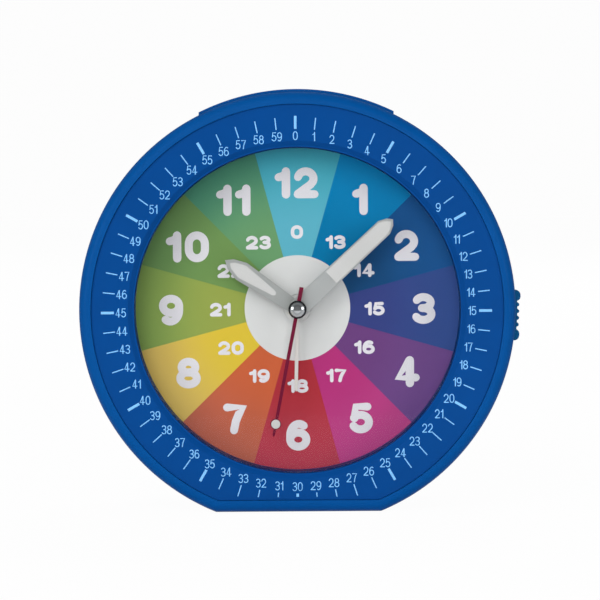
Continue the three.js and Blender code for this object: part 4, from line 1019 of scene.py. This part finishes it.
lower = 0.6
outside = [(math.sqrt(distance ** 2 - z ** 2), z - lower) for z, distance in grip_line()]
inside = [(52.8, outside[-1][1]), (52.8, outside[0][1])]
slider = plate("slider", inside + outside, -6.5, -1.5)
ease(slider, 0.35, 4, 80)
unite(slider, box("keeper", (52.2, -7.7, 40.2), (53.35, -0.3, 62.4)))
slider_blue = moulded("slider_blue", paint(16, 92, 144), roughness=0.5, grain=0.2, depth=0.008)
settle(slider, "slider", slider_blue, ("alarm_slider",), 40)

# %% [markdown]
# ## Rear cover
#
# The back is a second moulding with a soft round edge and a fine grain. It carries the battery's
# tray with a recess for its door, five slots that let the buzzer be heard, a shallow dish round
# each of the two knobs, and four deep wells for the screws. The slots are one cutter, copied.

# %% Box with round corners
def round_box(name, low, high, radius, segments=4):
    """A box whose edges along Y are rounded."""
    piece = box(name, low, high)
    round_edges(piece, radius, segments, lambda at, along: abs(along.y) > 0.9)
    return piece


# %% Shell, tray and wells
cover = drum("cover", 0, 8.2, 20)
round_edges(cover, 3.6, 12, lambda at, along: at.y > 19.99 * mm)
cover_hollow = drum("cover_hollow", 2.2, 7, 18)
round_edges(cover_hollow, 1.4, 4, lambda at, along: at.y > 17.99 * mm)
carve(cover, cover_hollow)
unite(cover, round_box("tray", (-30, 1.5, 10.5), (30, 19, 28.3), 1.2),
      round_box("collar", (-31.7, 14, 8.8), (31.7, 19, 30), 1.2))
for angle in screw_angles:
    unite(cover, post("well", 2.8, angle, 8.2, 19))
buzzer_z = axis_z + 36
buzzer_ring = shaft("buzzer_ring", 11.5, 15.7, 19, buzzer_z, 96)
carve(buzzer_ring, shaft("buzzer_seat", 10.2, 15, 17.95, buzzer_z, 96))
unite(cover, buzzer_ring)

# %% Openings in the back
recess = round_box("door_recess", (-30.5, 18, 10), (30.5, 22, 28.8), 1.0)
notch = round_box("notch", (-5, 18, 27), (5, 22, 30.4), 1.2)
carve(cover, recess, notch, box("bay", (-28.7, 2.8, 11.8), (28.7, 22, 27)),
      box("pocket_left", (-20.35, 15.45, 10), (-13.65, 20.5, 13.8)),
      box("pocket_right", (13.65, 15.45, 10), (20.35, 20.5, 13.8)))
slot_cutter = round_box("slot_cutter", (-0.7, 17.5, 82.7), (0.7, 22, 95.7), 0.65, 6)
carve(cover, *copies(slot_cutter, "sound_slot", [((i - 2) * 3.2, 0, 0) for i in range(5)]))
time_knob_x, alarm_knob_x = -12, 15
for x in (time_knob_x, alarm_knob_x):
    dish = turned("dish", [(0, 19.5), (7.6, 19.5), (8.3, 20.2), (8.3, 22), (0, 22), (0, 19.5)], 96,
                  Vector((x * mm, 0, axis_height)))
    carve(cover, dish, rod("arbor_hole", 1.35, (x, 17, axis_z), (x, 22, axis_z)))
for angle in screw_angles:
    carve(cover, post("shank_hole", 1.3, angle, 6, 21), post("head_well", 2.6, angle, 16.6, 21))
ease(cover, 0.18, 2, 40)
back_blue = moulded("back_blue", paint(5, 78, 150), roughness=0.52, grain=0.35, depth=0.02)
settle(cover, "root", back_blue, ("rear_cover",))

# %% [markdown]
# ## Battery door
#
# The door is a flat lid with a round lower edge, which turns on two tabs behind the cover. A
# springy tongue at the top snaps into the notch, and seven grooves give the thumb a hold.

# %% Lid, tabs, tongue and grooves
door = round_box("door", (-30.2, 18.2, 11.2), (30.2, 20, 28.5), 0.7, 3)
carve(door, box("below", (-40, 17, 8), (40, 21, 12)))
unite(door, box("lower_edge", (-30.2, 18.2, 11.2), (30.2, 20, 12.4)),
      rod("roll", 0.9, (-30.2, 19.1, 11.2), (30.2, 19.1, 11.2)),
      box("tongue", (-4, 18.3, 28), (4, 19.5, 29.9)),
      box("tab_left", (-20, 16, 10.75), (-14, 19.1, 11.65)),
      box("tab_right", (14, 16, 10.75), (20, 19.1, 11.65)))
groove = box("groove", (-10, 19.65, 15.3), (10, 22, 16.2))
carve(door, *copies(groove, "thumb_groove", [(0, 0, i * 1.8) for i in range(7)]))
ease(door, 0.15, 2, 40)
settle(door, "door", back_blue, ("battery_door",))

# %% [markdown]
# ## Knobs and screws
#
# Two fluted knobs on the back set the time and the alarm. The first is turned from a profile, with
# a dished face and a bore for its arbor, and a rod copied eighteen times cuts the flutes. The
# second knob is a copy. The screws have a round head with a cross in it, and ridges turned on the
# shank stand for the thread. One screw is made and copied to its four places.

# %% Knobs
knob_spot = Vector((time_knob_x * mm, 0, axis_height))
arbor_bore, skirt, rim = 1.06, 5.3, 6.5
knob_profile = [(arbor_bore, 22.55), (arbor_bore, 20.35), (2.4, 20.35), (2.4, 22.2), (skirt, 22.2),
                (skirt, 20.35), (rim, 20.35), (rim, 24.05), (6.35, 24.4), (6.0, 24.55), (5.3, 24.5),
                (4.2, 23.9), (2.6, 23.6), (0, 23.55), (0, 22.55), (arbor_bore, 22.55)]
knob = turned("time_knob_cap", knob_profile, 144, knob_spot)
flute_count = 18
flute_z = axis_z + 6.72
flute = rod("flute", 0.62, (time_knob_x, 20, flute_z), (time_knob_x, 25, flute_z), 24)
flutes = copies(flute, "flute_cutter", [(0, 0, 0)] * flute_count)
for i, cutter in enumerate(flutes):
    turn = Matrix.Rotation(math.radians(360 / flute_count * i), 4, "Y")
    cutter.data.transform(Matrix.Translation(knob_spot) @ turn @ Matrix.Translation(-knob_spot))
carve(knob, joined("flute_cutters", flutes),
      round_box("pointer", (time_knob_x - 0.3, 23.2, axis_z + 2.4),
                (time_knob_x + 0.3, 26, axis_z + 5.2), 0.28))
ease(knob, 0.12, 2, 40)
alarm_cap = twin(knob, "alarm_knob_cap", (alarm_knob_x - time_knob_x, 0, 0))
knob_blue = moulded("knob_blue", paint(5, 52, 104), roughness=0.46, grain=0.2, depth=0.008)
settle(knob, "time_setting", knob_blue, ("time_knob",), 35)
settle(alarm_cap, "alarm_setting", knob_blue, ("alarm_knob",), 35)

# %% Case screws
steel = Finish("screw_steel", Metallic=1.0)
tone = steel.noise(0.6 * mm)
bare_steel = steel.blend(tone, paint(150, 150, 148), paint(186, 186, 182))
steel.feed(steel.shader, {"Base Color": bare_steel, "Roughness": tone * 0.2 + 0.25})
steel.bump(steel.noise(0.15 * mm), 0.004 * mm)
first_place = Vector(on_dial(screw_circle, screw_angles[0]))
ridges = [point for i in range(14) for point in ((0.98, 2.1 + i * 0.55), (1.16, 2.37 + i * 0.55))]
screw_profile = [(0, 1.15), (0.35, 1.2)] + ridges + [
    (0.98, 9.9), (0.98, 16.8), (2.38, 16.8), (2.38, 17.4), (2.1, 17.9), (1.3, 18.16), (0, 18.2)]
screw = turned("cover_screw_1", screw_profile, 48, first_place * mm)
for reach, half in ((1.35, 0.27), (0.27, 1.35)):
    away = Vector((reach, 0, half))
    low, high = first_place - away, first_place + away
    carve(screw, round_box("cross", (low.x, 17.4, low.z), (high.x, 19, high.z), 0.1, 2))
ease(screw, 0.06, 1, 40)
# The pattern becomes the last screw. It holds the first name until then, so Blender adds .001 to
# the name of its first copy.
for i, angle in enumerate(screw_angles, 1):
    shift = Vector(on_dial(screw_circle, angle)) - first_place
    if i < len(screw_angles):
        one = twin(screw, f"cover_screw_{i}", shift)
    else:
        one = screw
        one.data.transform(Matrix.Translation(shift * mm))
        one.name = one.data.name = f"cover_screw_{i}"
    settle(one, "root", steel, (f"case_screw_{i}",), 35)

# %% [markdown]
# ## Works inside
#
# The solids inside the case keep their shape and get their finish here. The wheels are white and
# tan acetal, a slightly waxy plastic. The movement's case is cloudy grey plastic, its stator is
# rolled steel and its coil is copper wire. The board has a grid of fine tracks under a green mask,
# and the cell has a plain wrap with a pale band and bare metal at its ends. The collar in the
# dial's hole is part of the movement's cover. It is painted like the dial round it.

# %% Plastics and steel
def dress(finish, *names):
    """Gives a finish to solids that keep their shape."""
    for name in names:
        slots = nodes[name].data.materials
        slots.clear()
        slots.append(finish.material)
    print(finish.material.name, "on", len(names), "solids")


dress(moulded("acetal_white", paint(236, 233, 224), 0.42, 0.4, 0.006), "hour_wheel", "centre_wheel",
      "seconds_wheel", "motion_wheel")
dress(moulded("acetal_tan", paint(214, 184, 136), 0.42, 0.4, 0.006), "alarm_wheel", "third_wheel",
      "intermediate_wheel", "alarm_setting_wheel")
dress(moulded("plate_white", paint(224, 223, 218), 0.55, 0.3, 0.01), "dial_carrier",
      "snooze_plunger")
dress(moulded("black_plastic", paint(34, 35, 38), 0.5, 0.25, 0.012), "buzzer", "snooze_switch",
      "slide_switch", "slide_switch_lever", "rotor")
dress(moulded("cloudy_grey", paint(182, 189, 194), 0.3, 0.6, 0.006, 0.07), "movement_tray",
      "middle_plate")
cover_grey = moulded("cover_grey", paint(182, 189, 194), 0.4, 0.6, 0.006, 0.07)
behind_dial = cover_grey.place("Y") > -8.6 * mm
cover_grey.feed(cover_grey.shader, {"Base Color": cover_grey.blend(
    behind_dial, paint(214, 214, 212), cover_grey.colour())})
dress(cover_grey, "movement_cover")
dress(steel, "stator", "quartz_can", "snooze_spring_left", "snooze_spring_right", "contact_plus",
      "contact_minus", *[f"carrier_screw_{i}" for i in range(1, 5)])

# %% Copper wire
copper = Finish("copper_wire", Metallic=1.0)
turns = copper.node("ShaderNodeTexWave", {"wave_type": "BANDS", "bands_direction": "X"},
                    {"Vector": copper.place(), "Scale": 1600, "Distortion": 0.6, "Detail": 1.0})
wire = copper.blend(turns, paint(150, 82, 44), paint(214, 136, 88))
copper.feed(copper.shader, {"Base Color": wire, "Roughness": turns * 0.15 + 0.28})
copper.bump(turns, 0.05 * mm)
dress(copper, "coil", "alarm_contact")

# %% Board
board = Finish("board_green", IOR=1.5, Specular_IOR_Level=0.4)
tracks = board.node("ShaderNodeTexBrick", {"offset": 0.5, "squash": 0.6},
                    {"Vector": board.place(), "Color1": paint(18, 88, 52),
                     "Color2": paint(22, 100, 60), "Mortar": paint(70, 140, 86),
                     "Scale": 260, "Mortar Size": 0.035})
board.feed(board.shader, {"Base Color": tracks, "Roughness": board.noise(2 * mm) * 0.15 + 0.3})
board.bump(board.noise(0.4 * mm), 0.01 * mm)
dress(board, "circuit_board")

# %% Cell
cell = Finish("cell_wrap", IOR=1.5)
along = cell.place("X")
wrapped = (along > -21.6 * mm) * (25.6 * mm - along > 0)
wrap = cell.blend(along > 12 * mm, paint(46, 52, 60), paint(150, 158, 166))
cell.feed(cell.shader, {"Base Color": cell.blend(wrapped, paint(196, 196, 192), wrap),
                        "Metallic": wrapped * -0.7 + 1.0,
                        "Roughness": cell.noise(4 * mm) * 0.14 + 0.26})
cell.bump(cell.noise(0.5 * mm), 0.005 * mm)
dress(cell, "battery")
undressed = [name for name, solid in nodes.items() if not solid.data.materials]
print("solids without a finish", undressed)
